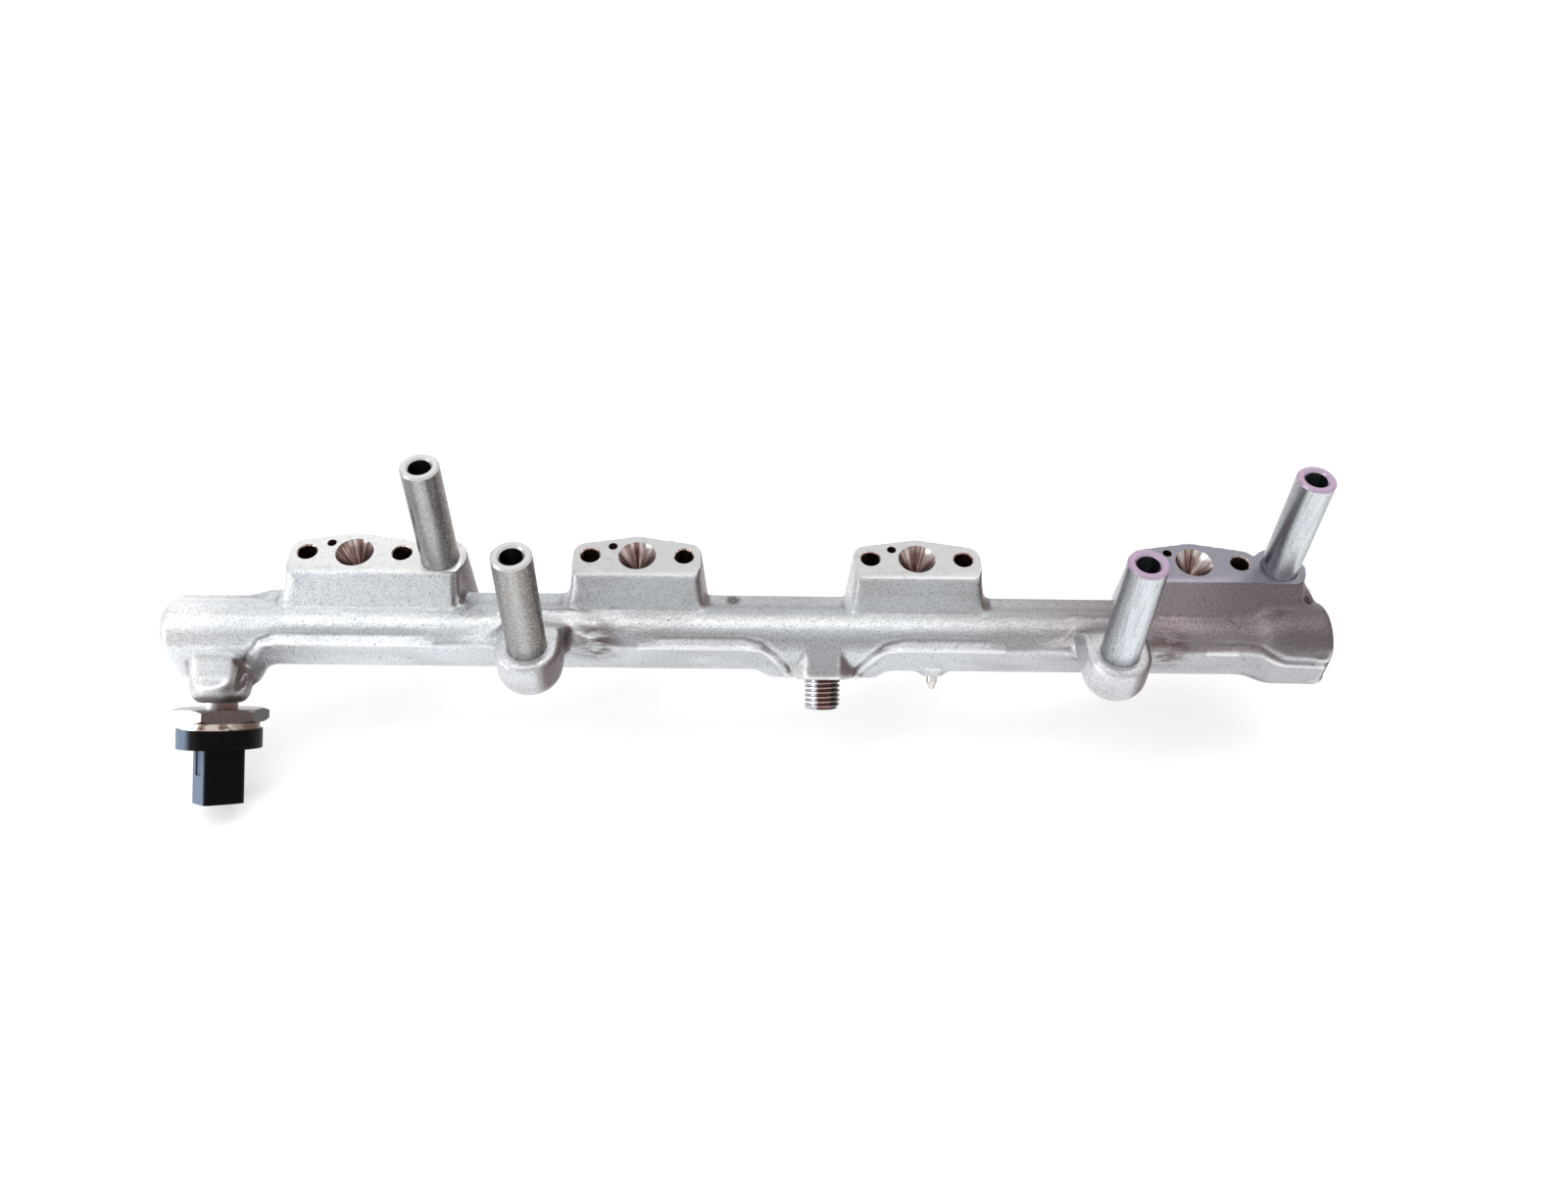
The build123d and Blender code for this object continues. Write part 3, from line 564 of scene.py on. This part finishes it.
# ---------------------------------------------------------------- finishes
class Finish:
    """A material and short words for its nodes."""

    def __init__(self, name, colour=(0.5, 0.5, 0.5), metallic=1.0, roughness=0.4):
        self.material = bpy.data.materials.new(name)
        self.material.use_nodes = True
        self.tree = self.material.node_tree
        self.shader = self.tree.nodes["Principled BSDF"]
        self.shader.inputs["Base Color"].default_value = (*colour, 1)
        self.shader.inputs["Metallic"].default_value = metallic
        self.shader.inputs["Roughness"].default_value = roughness
        self.place = self.add("ShaderNodeTexCoord").outputs["Object"]

    def add(self, kind, **settings):
        """Adds a node and sets its settings."""
        node = self.tree.nodes.new(kind)
        for name, value in settings.items():
            setattr(node, name, value)
        return node

    def put(self, socket, value):
        """Links a socket or sets its value."""
        if isinstance(value, bpy.types.NodeSocket):
            self.tree.links.new(value, socket)
        elif socket.type == "RGBA" and not isinstance(value, float):
            socket.default_value = (*value, 1)
        else:
            socket.default_value = value

    def set(self, name, value):
        """Puts a value on the shader."""
        self.put(self.shader.inputs[name], value)

    def calc(self, operation, a, b=0.0, clamp=False):
        """One step of arithmetic."""
        node = self.add("ShaderNodeMath", operation=operation, use_clamp=clamp)
        self.put(node.inputs[0], a)
        self.put(node.inputs[1], b)
        return node.outputs[0]

    def both(self, *shares):
        """The product of some shares, in their order."""
        product = shares[0]
        for share in shares[1:]:
            product = self.calc("MULTIPLY", product, share)
        return product

    def mix(self, share, a, b, blend="MIX"):
        """Colour a where the share is 0, colour b where it is 1."""
        node = self.add("ShaderNodeMix", data_type="RGBA", blend_type=blend)
        self.put(node.inputs["Factor"], share)
        self.put(node.inputs["A"], a)
        self.put(node.inputs["B"], b)
        return node.outputs["Result"]

    def fade(self, value, start, end):
        """0 before start, 1 after end, and smooth between."""
        node = self.add("ShaderNodeMapRange", interpolation_type="SMOOTHSTEP")
        self.put(node.inputs["Value"], value)
        self.put(node.inputs["From Min"], start)
        self.put(node.inputs["From Max"], end)
        return node.outputs["Result"]

    def axis(self, letter, vector=None):
        """One coordinate of a place or a direction."""
        node = self.add("ShaderNodeSeparateXYZ")
        self.put(node.inputs[0], vector or self.place)
        return node.outputs[letter]

    def facing(self, letter):
        """How far the surface faces along an axis, from -1 to 1."""
        return self.axis(letter, self.add("ShaderNodeNewGeometry").outputs["Normal"])

    def stretched(self, scale):
        """Places scaled along each axis, for noise that is drawn out."""
        node = self.add("ShaderNodeMapping")
        self.put(node.inputs["Vector"], self.place)
        node.inputs["Scale"].default_value = scale
        return node.outputs[0]

    def noise(self, size, detail=2.0, roughness=0.5, vector=None, distortion=0.0):
        """Noise whose features are about this size, in millimetres."""
        node = self.add("ShaderNodeTexNoise")
        self.put(node.inputs["Vector"], vector or self.place)
        node.inputs["Scale"].default_value = 1 / (size * MM)
        node.inputs["Detail"].default_value = detail
        node.inputs["Roughness"].default_value = roughness
        node.inputs["Distortion"].default_value = distortion
        return node.outputs["Fac"]

    def near(self, point, radius, soft=0.5):
        """1 near a point of the rail in millimetres, 0 outside the radius."""
        node = self.add("ShaderNodeVectorMath", operation="DISTANCE")
        self.put(node.inputs[0], self.place)
        node.inputs[1].default_value = Vector(point) * MM
        return self.fade(node.outputs["Value"], radius * MM, radius * (1 - soft) * MM)

    def bump(self, *layers):
        """Stacks bumps; each layer gives a height, and its depth in millimetres."""
        normal = None
        for height, depth in layers:
            node = self.add("ShaderNodeBump")
            node.inputs["Strength"].default_value = 1.0
            node.inputs["Distance"].default_value = depth * MM
            self.put(node.inputs["Height"], height)
            if normal is not None:
                self.put(node.inputs["Normal"], normal)
            normal = node.outputs["Normal"]
        self.set("Normal", normal)


def forged_finish():
    """Blasted forging, brown at the thick end; painted highlights at the sensor's end, on the crown, on front-
    and left-facing faces, round the lugs and on low convex edges; painted shade on the shoulders, on right-facing
    faces, beside the lugs and in its corners.
    """
    look = Finish("forged_steel_blasted", colours().forging, 0.9, 0.45)
    along = look.calc("ADD", look.axis("X"), look.both(look.calc("SUBTRACT", look.noise(30), 0.5), 0.05))
    # Painted highlight: the forging turns pale towards the sensor's end.
    colour = look.mix(look.fade(along, 0.09, -0.01), colours().forging, (0.64, 0.67, 0.70))
    colour = look.mix(look.fade(along, 0.185, 0.26), colour, colours().forging_warm)
    colour = look.mix(look.fade(along, 0.27, 0.31), colour, (0.17, 0.14, 0.155))
    # Painted highlight, near white, on the end beyond the sensor's port.
    colour = look.mix(look.fade(look.axis("X"), -0.03, -0.055), colour, (0.86, 0.87, 0.88))
    # Painted highlight on faces that turn to the front.
    front = look.fade(look.facing("Y"), -0.70, -1.0)
    colour = look.mix(look.both(front, 0.5), colour, (0.76, 0.79, 0.83))
    on_bar = look.fade(look.axis("Y"), -17 * MM, -19 * MM)
    up = look.facing("Z")
    # Painted highlight along the bar's crown.
    crown = look.both(
        on_bar,
        look.fade(up, 0.86, 0.97),
        look.fade(look.axis("Z"), -9.6 * MM, -8.6 * MM),
        look.fade(look.axis("X"), 0.26, 0.14),
    )
    colour = look.mix(look.both(crown, 0.3), colour, (0.88, 0.88, 0.86))
    # Painted shade on the bar's shoulders, between the crown and the front.
    shoulder = look.both(look.fade(up, 0.30, 0.45), look.fade(up, 0.86, 0.66))
    colour = look.mix(look.both(on_bar, shoulder, 0.35), colour, (0.20, 0.19, 0.20))
    barrel = look.both(look.fade(look.axis("X"), 0.262, 0.285), look.fade(look.axis("Z"), -11 * MM, -8 * MM))
    colour = look.mix(look.both(barrel, 0.5), colour, (0.10, 0.085, 0.095))
    # Painted highlight round each front lug.
    for x, y in FRONT_LUGS:
        collar = look.near((x, y - 3, -9), 17, 0.35)
        colour = look.mix(look.both(collar, 0.7), colour, (0.68, 0.69, 0.71))
    # Painted highlight on faces that turn left, painted shade on faces that turn right.
    colour = look.mix(look.both(look.fade(look.facing("X"), -0.25, -0.8), 0.6), colour, (0.85, 0.86, 0.88))
    colour = look.mix(look.both(look.fade(look.facing("X"), 0.2, 0.65), 0.9), colour, (0.13, 0.088, 0.088))
    # Painted shade, near black, on right-facing faces at the sensor's end.
    dark_side = look.both(look.fade(look.axis("X"), -0.03, -0.036), look.fade(look.facing("X"), 0.1, 0.6))
    colour = look.mix(dark_side, colour, (0.085, 0.062, 0.056))
    # Painted shade, streaked, in the blend to the right of each front lug.
    for x, y in FRONT_LUGS:
        painted_lug_shade = look.near((x + 19, y + 11, -11), 12, 0.9)
        painted_lug_shade = look.both(painted_lug_shade, look.fade(look.noise(2.0, 3, vector=look.stretched((0.35, 1, 1))), 0.35, 0.6))
        colour = look.mix(look.both(painted_lug_shade, 0.95), colour, (0.10, 0.062, 0.058))
    cloud = look.fade(look.noise(9, 3, vector=look.stretched((0.3, 1, 1))), 0.4, 0.65)
    colour = look.mix(look.both(cloud, 0.22), colour, (0.22, 0.20, 0.20))
    grain = look.noise(0.55, 2)
    colour = look.mix(look.both(look.fade(grain, 0.45, 0.68), 0.65), colour, (0.55, 0.55, 0.57), "MULTIPLY")
    # Painted shade in concave corners and creases, found from the mesh's pointiness.
    edge = look.add("ShaderNodeNewGeometry").outputs["Pointiness"]
    colour = look.mix(look.both(look.fade(edge, 0.498, 0.46), 0.85), colour, (0.10, 0.075, 0.075))
    # Painted highlight on convex edges low on the forging, such as the parting land's roll.
    painted_edge_highlight = look.both(look.fade(edge, 0.503, 0.54), look.fade(look.axis("Z"), -9 * MM, -11.5 * MM))
    colour = look.mix(look.both(painted_edge_highlight, 0.6), colour, (0.93, 0.93, 0.94))
    specks = look.fade(look.noise(1.3, 1), 0.735, 0.78)
    colour = look.mix(look.both(specks, 0.6), colour, (0.08, 0.07, 0.07))
    stain = look.both(look.near((121, -10.5, -9.2), 3.2, 0.7), look.fade(look.noise(1.2, 2), 0.30, 0.5))
    colour = look.mix(look.both(stain, 0.85), colour, (0.07, 0.065, 0.06))
    look.set("Base Color", colour)
    look.set("Roughness", look.calc("ADD", look.both(look.noise(3, 2), 0.16), 0.30))
    look.bump((look.noise(2.4, 2), 0.2), (grain, 0.13))
    return look.material


def milled_finish():
    """Milled and blasted pad faces: a fine grain, a little dirt, a painted highlight towards the sensor's end,
    darker towards the thick end.
    """
    look = Finish("steel_milled", colours().milled, 0.9, 0.36)
    grain = look.noise(0.45, 2)
    dirt = look.fade(look.noise(2.6, 3), 0.5, 0.75)
    # Painted highlight: paler towards the sensor's end.
    colour = look.mix(look.fade(look.axis("X"), 0.06, 0.02), colours().milled, (0.76, 0.77, 0.76))
    colour = look.mix(look.fade(look.axis("X"), 0.21, 0.24), colour, (0.24, 0.23, 0.275))
    colour = look.mix(look.both(look.fade(grain, 0.45, 0.7), 0.35), colour, (0.28, 0.27, 0.27))
    colour = look.mix(look.both(dirt, 0.3), colour, (0.32, 0.30, 0.29))
    specks = look.fade(look.noise(0.9, 1), 0.75, 0.79)
    look.set("Base Color", look.mix(look.both(specks, 0.6), colour, (0.08, 0.07, 0.07)))
    look.bump((grain, 0.05))
    return look.material


def seat_finish():
    """Seat cones: bright, with brown streaks of dried fuel that run down to the drilling, and a painted highlight
    on their right side.
    """
    look = Finish("steel_seat_cone", colours().bored, 1.0, 0.22)
    centred = look.calc("SUBTRACT", look.calc("MODULO", look.calc("ADD", look.axis("X"), 0.045), 0.09), 0.045)
    angle = look.calc("ARCTAN2", look.axis("Y"), centred)
    spread = look.add("ShaderNodeCombineXYZ")
    look.put(spread.inputs["X"], look.both(angle, 1.6))
    look.put(spread.inputs["Y"], look.both(look.axis("X"), 9.0))
    streak = look.add("ShaderNodeTexNoise", noise_dimensions="2D")
    look.put(streak.inputs["Vector"], spread.outputs[0])
    streak.inputs["Scale"].default_value = 1.9
    streak.inputs["Detail"].default_value = 2
    lines = look.fade(streak.outputs["Fac"], 0.40, 0.62)
    # Painted highlight on the right side of each cone.
    right = look.both(look.fade(angle, -0.5, 0.0), look.fade(angle, 1.0, 0.6))
    share = look.calc("ADD", look.both(lines, 0.5), look.both(right, 0.9), clamp=True)
    look.set("Base Color", look.mix(share, (0.22, 0.13, 0.115), (0.93, 0.91, 0.90)))
    return look.material


def bored_finish():
    """Walls of the holes: brown oil, painted glints, and painted shade that darkens them towards the bottom."""
    look = Finish("steel_bored_wall", colours().bored, 1.0, 0.3)
    colour = look.mix(look.fade(look.noise(2.2, 2), 0.4, 0.6), colours().bored, colours().oil)
    # Painted glints: thin bright streaks on the walls.
    glint = look.fade(look.noise(1.1, 1, vector=look.stretched((1, 1, 0.02))), 0.56, 0.61)
    colour = look.mix(glint, colour, (0.85, 0.80, 0.78))
    # Painted shade, near black, deeper down each hole.
    painted_hole_shade = look.fade(look.axis("Z"), -3.4 * MM, -6.5 * MM)
    look.set("Base Color", look.mix(look.both(painted_hole_shade, 0.95), colour, (0.015, 0.01, 0.01)))
    rings = look.noise(0.4, 1, vector=look.stretched((0.1, 0.1, 1)))
    look.bump((rings, 0.04))
    return look.material


def sleeve_finish():
    """Drawn sleeves: a grain that runs along them, tinted end faces, a painted highlight streak down their front,
    and painted shade on their flanks, dark brown on the right.
    """
    look = Finish("steel_sleeve", colours().turned, 1.0, 0.30)
    right_end = look.fade(look.axis("X"), 0.15, 0.2)
    body = look.mix(right_end, colours().turned, (0.60, 0.64, 0.68))
    lines = look.noise(0.7, 2, vector=look.stretched((1, 1, 0.05)))
    colour = look.mix(look.both(look.fade(lines, 0.4, 0.7), 0.4), body, (0.24, 0.225, 0.21))
    # Painted highlight: a pale streak down the front of each sleeve.
    streak = look.both(look.fade(look.facing("X"), -0.35, 0.1), look.fade(look.facing("X"), 0.5, 0.15))
    colour = look.mix(look.both(streak, 0.18), colour, (0.85, 0.86, 0.87))
    # Painted shade, dark brown, on faces that turn right.
    edge_right = look.fade(look.facing("X"), 0.25, 0.95)
    colour = look.mix(look.both(edge_right, 0.9), colour, (0.09, 0.07, 0.062))
    # Painted shade on faces that turn left.
    edge_left = look.fade(look.facing("X"), -0.35, -0.9)
    colour = look.mix(look.both(edge_left, 0.7), colour, (0.17, 0.17, 0.18))
    grain = look.noise(0.6, 2)
    colour = look.mix(look.both(look.fade(grain, 0.5, 0.68), 0.22), colour, (0.85, 0.86, 0.88))
    colour = look.mix(look.both(look.fade(grain, 0.48, 0.32), 0.3), colour, (0.15, 0.14, 0.135))
    end_tint = look.mix(right_end, (0.64, 0.64, 0.635), (0.42, 0.29, 0.41))
    cap = look.both(look.fade(look.facing("Z"), 0.4, 0.8), 0.9)
    look.set("Base Color", look.mix(cap, colour, end_tint))
    look.bump((grain, 0.03), (lines, 0.012))
    return look.material


def bright_finish(name, colour, roughness=0.25):
    """Bright machined steel with rings of the tool and thin brown in its grooves."""
    look = Finish(name, colour, 1.0, roughness)
    cloud = look.fade(look.noise(1.6, 3), 0.45, 0.62)
    look.set("Base Color", look.mix(look.both(cloud, 0.5), colour, (0.30, 0.21, 0.17)))
    look.bump((look.noise(0.4, 2), 0.015))
    return look.material


def thread_finish():
    """Cut thread: crests brighter than the roots between the turns, brown in the middle, with a painted highlight
    to the left and painted shade to the right.
    """
    look = Finish("steel_thread", (0.7, 0.69, 0.68), 1.0, 0.22)
    direction = port_direction(INLET_FALL)
    start = look.add("ShaderNodeVectorMath", operation="SUBTRACT")
    look.put(start.inputs[0], look.place)
    start.inputs[1].default_value = along_port(INLET_X, INLET_FALL, 0) * MM
    run = look.add("ShaderNodeVectorMath", operation="PROJECT")
    look.put(run.inputs[0], start.outputs[0])
    run.inputs[1].default_value = direction
    out = look.add("ShaderNodeVectorMath", operation="DISTANCE")
    look.put(out.inputs[0], start.outputs[0])
    look.put(out.inputs[1], run.outputs[0])
    crest = look.fade(out.outputs["Value"], 5.35 * MM, 5.85 * MM)
    # Painted highlight to the left of the stub's axis, painted shade to the right of it.
    left = look.fade(look.axis("X"), (INLET_X - 1.0) * MM, (INLET_X - 2.4) * MM)
    right = look.fade(look.axis("X"), (INLET_X + 2.2) * MM, (INLET_X + 3.6) * MM)
    root = look.mix(left, look.mix(right, (0.10, 0.05, 0.045), (0.03, 0.025, 0.025)), (0.42, 0.43, 0.46))
    top = look.mix(left, look.mix(right, (0.40, 0.27, 0.26), (0.17, 0.15, 0.14)), (0.97, 0.97, 0.98))
    look.set("Base Color", look.mix(crest, root, top))
    look.bump((look.noise(0.4, 2), 0.01))
    return look.material


def hexagon_finish():
    """Hexagon and neck of the sensor, painted as reflections by which way each face turns: bright to the left,
    brown with fine lines to the front, near black to the right.
    """
    look = Finish("steel_hexagon", (0.4, 0.37, 0.36), 1.0, 0.3)
    turn = look.facing("X")
    lines = look.noise(0.9, 2, vector=look.stretched((1, 0.2, 0.2)))
    front = look.mix(lines, (0.15, 0.115, 0.115), (0.24, 0.19, 0.185))
    # Painted reflection by facing: near white to the left, near black to the right.
    colour = look.mix(look.fade(turn, -0.65, -0.25), (0.90, 0.89, 0.87), front)
    colour = look.mix(look.fade(turn, 0.3, 0.7), colour, (0.03, 0.022, 0.02))
    # Painted reflection on the neck: bluish white to the left, brown to the right.
    neck = look.near(along_port(SENSOR_X, SENSOR_FALL, 23.2), 6.6, 0.06)
    neck_tone = look.mix(look.fade(turn, -0.5, 0.35), (0.80, 0.82, 0.90), (0.16, 0.10, 0.09))
    look.set("Base Color", look.mix(neck, colour, neck_tone))
    look.bump((look.noise(0.5, 2), 0.015))
    return look.material


def collar_finish():
    """Turned collar under the hexagon, with brown bands round it: a painted highlight to the left and painted
    shade to the right.
    """
    look = Finish("steel_collar", (0.6, 0.55, 0.5), 1.0, 0.25)
    turn = look.facing("X")
    bands = look.fade(look.noise(1.6, 2, vector=look.stretched((0.25, 1, 1))), 0.42, 0.6)
    warm = look.mix(bands, (0.62, 0.55, 0.49), (0.16, 0.10, 0.08))
    # Painted highlight on faces that turn left.
    colour = look.mix(look.fade(turn, -0.55, -0.1), (0.92, 0.91, 0.89), warm)
    # Painted shade on faces that turn right.
    look.set("Base Color", look.mix(look.fade(turn, 0.45, 0.95), colour, (0.12, 0.08, 0.065)))
    look.bump((look.noise(0.4, 2), 0.01))
    return look.material


def plastic_finish(name, colour, roughness=0.38):
    """Moulded plastic with a fine grain, a little dust, and a painted bluish sheen on faces that turn left and on
    the left of the sensor.
    """
    look = Finish(name, colour, 0.0, roughness)
    dust = look.fade(look.noise(2.4, 3), 0.55, 0.8)
    paler = tuple(min(1.0, part * 1.8 + 0.004) for part in colour)
    tone = look.mix(look.both(dust, 0.6), colour, paler)
    # Painted sheen: a bluish reflection on faces that turn left and on the left of the sensor.
    flank = look.fade(look.axis("X"), (SENSOR_X - 4.0) * MM, (SENSOR_X - 8.5) * MM)
    painted_sheen = look.calc("ADD", look.fade(look.facing("X"), -0.3, -0.8), flank, clamp=True)
    painted_sheen_tone = tuple(part + more for part, more in zip(colour, (0.20, 0.265, 0.36)))
    look.set("Base Color", look.mix(painted_sheen, tone, painted_sheen_tone))
    look.set("Roughness", look.calc("ADD", look.both(look.noise(1.5, 2), 0.18), roughness - 0.08))
    look.set("Specular IOR Level", 0.05)
    look.bump((look.noise(0.22, 1), 0.012))
    return look.material


def dress(piece, material):
    """Gives every face of a piece one finish."""
    piece.data.materials.clear()
    piece.data.materials.append(material)


def dress_node(name, material):
    """Gives a carried-over node its finish."""
    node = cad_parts[name]
    for slot in node.material_slots:
        slot.material = material


# ---------------------------------------------------------------- operators
class MakeForging(bpy.types.Operator):
    """Makes the forged body with its milled pads, seats and holes."""

    bl_idname = "rail.make_forging"
    bl_label = "Forged body"

    def execute(self, context):
        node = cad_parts["rail_body"]
        piece = forging_blank(node, sizes().machining_stock)
        soften(piece, sizes().grain_size, sizes().softening)
        lower_gussets(piece)
        soften_zones(piece)
        roll_land_edges(piece)
        machine(piece)
        if len(piece.data.polygons) < 1000:
            raise RuntimeError("the forging came out empty")
        piece.data.materials.clear()
        for material in (forged_finish(), milled_finish(), seat_finish(), bored_finish()):
            piece.data.materials.append(material)
        sort_surfaces(piece)
        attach(piece, "root")
        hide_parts("rail_body")
        return {"FINISHED"}


class MakeInletThread(bpy.types.Operator):
    """Makes the inlet stub with the turns of its thread."""

    bl_idname = "rail.make_inlet_thread"
    bl_label = "Inlet thread"

    def execute(self, context):
        bm = inlet_thread_mesh(sizes().thread_pitch / MM, sizes().thread_depth / MM)
        piece = new_piece("inlet_stub", bm)
        piece.data.shade_smooth()
        piece.data.set_sharp_from_angle(angle=math.radians(40))
        dress(piece, thread_finish())
        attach(piece, "root")
        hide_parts("inlet_nipple")
        return {"FINISHED"}


class FinishSleeves(bpy.types.Operator):
    """Gives the four fixing sleeves their turned finish."""

    bl_idname = "rail.finish_sleeves"
    bl_label = "Fixing sleeves"

    def execute(self, context):
        material = sleeve_finish()
        for number in range(1, 5):
            dress_node(f"mounting_sleeve_{number}", material)
        return {"FINISHED"}


class FinishSmallSteel(bpy.types.Operator):
    """Finishes the throttle, the pin, the ball, the plug and the pressure cell."""

    bl_idname = "rail.finish_small_steel"
    bl_label = "Small steel pieces"

    def execute(self, context):
        bright = bright_finish("steel_bright", (0.66, 0.65, 0.64), 0.28)
        for name in ("inlet_throttle", "locating_pin", "closing_ball", "pressure_cell", "end_plug"):
            dress_node(name, bright)
        return {"FINISHED"}


class FinishSensor(bpy.types.Operator):
    """Finishes the pressure sensor from its hexagon to its connector."""

    bl_idname = "rail.finish_sensor"
    bl_label = "Pressure sensor"

    def execute(self, context):
        dress_node("sensor_port", hexagon_finish())
        dress_node("sensor_collar", collar_finish())
        black = plastic_finish("plastic_connector", tuple(colours().plastic), 0.36)
        dress_node("connector_housing", black)
        dress_node("housing_seal", plastic_finish("rubber_seal", (0.015, 0.015, 0.015), 0.6))
        dress_node("board_support_ring", plastic_finish("plastic_ring", (0.2, 0.2, 0.2), 0.5))
        dress_node("sensor_circuit_board", plastic_finish("board_laminate", (0.03, 0.16, 0.07), 0.45))
        tinned = bright_finish("alloy_tinned", (0.7, 0.66, 0.55), 0.3)
        for number in range(1, 4):
            dress_node(f"sensor_terminal_{number}", tinned)
        return {"FINISHED"}


class MakeStage(bpy.types.Operator):
    """Makes the floor, the light and the camera."""

    bl_idname = "rail.make_stage"
    bl_label = "Stage"

    def execute(self, context):
        low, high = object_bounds()
        bm = bmesh.new()
        bmesh.ops.create_grid(bm, x_segments=1, y_segments=1, size=3000)
        floor = new_piece("floor", bm)
        floor.location = ((low[0] + high[0]) / 2, 0, low[2])
        look = Finish("floor_paper", (0.93, 0.93, 0.93), 0.0, 0.9)
        look.set("Base Color", look.mix(look.noise(400, 1), (0.93, 0.93, 0.93), (0.95, 0.95, 0.95)))
        path = look.add("ShaderNodeLightPath")
        seen = look.calc("MAXIMUM", path.outputs["Is Camera Ray"], path.outputs["Is Glossy Ray"])
        seen = look.calc("MAXIMUM", seen, path.outputs["Is Transmission Ray"])
        look.set("Emission Color", (1, 1, 1))
        look.set("Emission Strength", look.both(seen, 0.42))
        dress(floor, look.material)
        floor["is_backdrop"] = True
        self.make_world()
        self.make_lamps()
        self.make_camera()
        context.scene.view_settings.view_transform = "Standard"
        return {"FINISHED"}

    @staticmethod
    def make_world():
        """White where it is seen, and dimmer as a light."""
        world = bpy.data.worlds.new("studio")
        world.use_nodes = True
        nodes, links = world.node_tree.nodes, world.node_tree.links
        path = nodes.new("ShaderNodeLightPath")
        seen = nodes.new("ShaderNodeMath")
        seen.operation = "MAXIMUM"
        links.new(path.outputs["Is Camera Ray"], seen.inputs[0])
        links.new(path.outputs["Is Glossy Ray"], seen.inputs[1])
        seen_too = nodes.new("ShaderNodeMath")
        seen_too.operation = "MAXIMUM"
        links.new(seen.outputs[0], seen_too.inputs[0])
        links.new(path.outputs["Is Transmission Ray"], seen_too.inputs[1])
        level = nodes.new("ShaderNodeMapRange")
        links.new(seen_too.outputs[0], level.inputs["Value"])
        level.inputs["To Min"].default_value = 0.55
        level.inputs["To Max"].default_value = 1.0
        background = nodes["Background"]
        background.inputs["Color"].default_value = (1, 1, 1, 1)
        links.new(level.outputs["Result"], background.inputs["Strength"])
        bpy.context.scene.world = world

    @staticmethod
    def make_lamps():
        """Four soft boxes: above, behind, in front and to the left."""
        for name, place, aim, size, power in (
            ("top_softbox", (0.08, 0.10, 1.15), (0.12, 0, 0), (2.0, 0.4), 5.4),
            ("back_softbox", (0.05, 1.10, 0.70), (0.10, 0, 0), (2.2, 0.5), 1.8),
            ("front_softbox", (0.05, -1.05, 0.03), (0.10, 0, 0), (1.8, 0.16), 1.2),
            ("left_softbox", (-0.95, -0.45, 0.30), (0.0, 0, 0), (0.6, 0.5), 3.0),
        ):
            lamp = bpy.data.lights.new(name, "AREA")
            lamp.shape = "RECTANGLE"
            lamp.size, lamp.size_y = size
            lamp.energy = power
            holder = bpy.data.objects.new(name, lamp)
            holder.location = place
            holder.rotation_euler = (Vector(aim) - Vector(place)).to_track_quat("-Z", "Y").to_euler()
            bpy.context.scene.collection.objects.link(holder)

    @staticmethod
    def make_camera():
        """The camera that looks down on the rail from the front."""
        camera = bpy.data.cameras.new("camera")
        camera.sensor_width = 36
        camera.sensor_fit = "HORIZONTAL"
        camera.lens = 31.04
        camera.clip_start = 0.01
        holder = bpy.data.objects.new("camera", camera)
        holder.location = (0.12710, -0.30119, 0.31357)
        holder.rotation_euler = [math.radians(angle) for angle in (42.4634, -1.4510, -0.3939)]
        bpy.context.scene.collection.objects.link(holder)
        bpy.context.scene.camera = holder


class RailPanel(bpy.types.Panel):
    """Lists what dresses the rail."""

    bl_idname = "VIEW3D_PT_rail"
    bl_label = "Fuel rail"
    bl_space_type = "VIEW_3D"
    bl_region_type = "UI"
    bl_category = "Fuel rail"

    def draw(self, context):
        layout = self.layout
        for settings in (context.scene.rail_sizes, context.scene.rail_colours):
            for name in settings.__annotations__:
                layout.prop(settings, name)
        for step in STEPS:
            layout.operator(step.bl_idname)


STEPS = (MakeForging, MakeInletThread, FinishSleeves, FinishSmallSteel, FinishSensor, MakeStage)
CLASSES = (RailSizes, RailColours, *STEPS, RailPanel)


def register():
    """Adds the classes and their settings to Blender."""
    for each in CLASSES:
        bpy.utils.register_class(each)
    bpy.types.Scene.rail_sizes = PointerProperty(type=RailSizes)
    bpy.types.Scene.rail_colours = PointerProperty(type=RailColours)


def unregister():
    """Takes them out again."""
    del bpy.types.Scene.rail_colours
    del bpy.types.Scene.rail_sizes
    for each in reversed(CLASSES):
        bpy.utils.unregister_class(each)


def main():
    """Dresses the rail."""
    register()
    bpy.ops.rail.make_forging()
    bpy.ops.rail.make_inlet_thread()
    bpy.ops.rail.finish_sleeves()
    bpy.ops.rail.finish_small_steel()
    bpy.ops.rail.finish_sensor()
    bpy.ops.rail.make_stage()


if __name__ == "__main__":
    main()
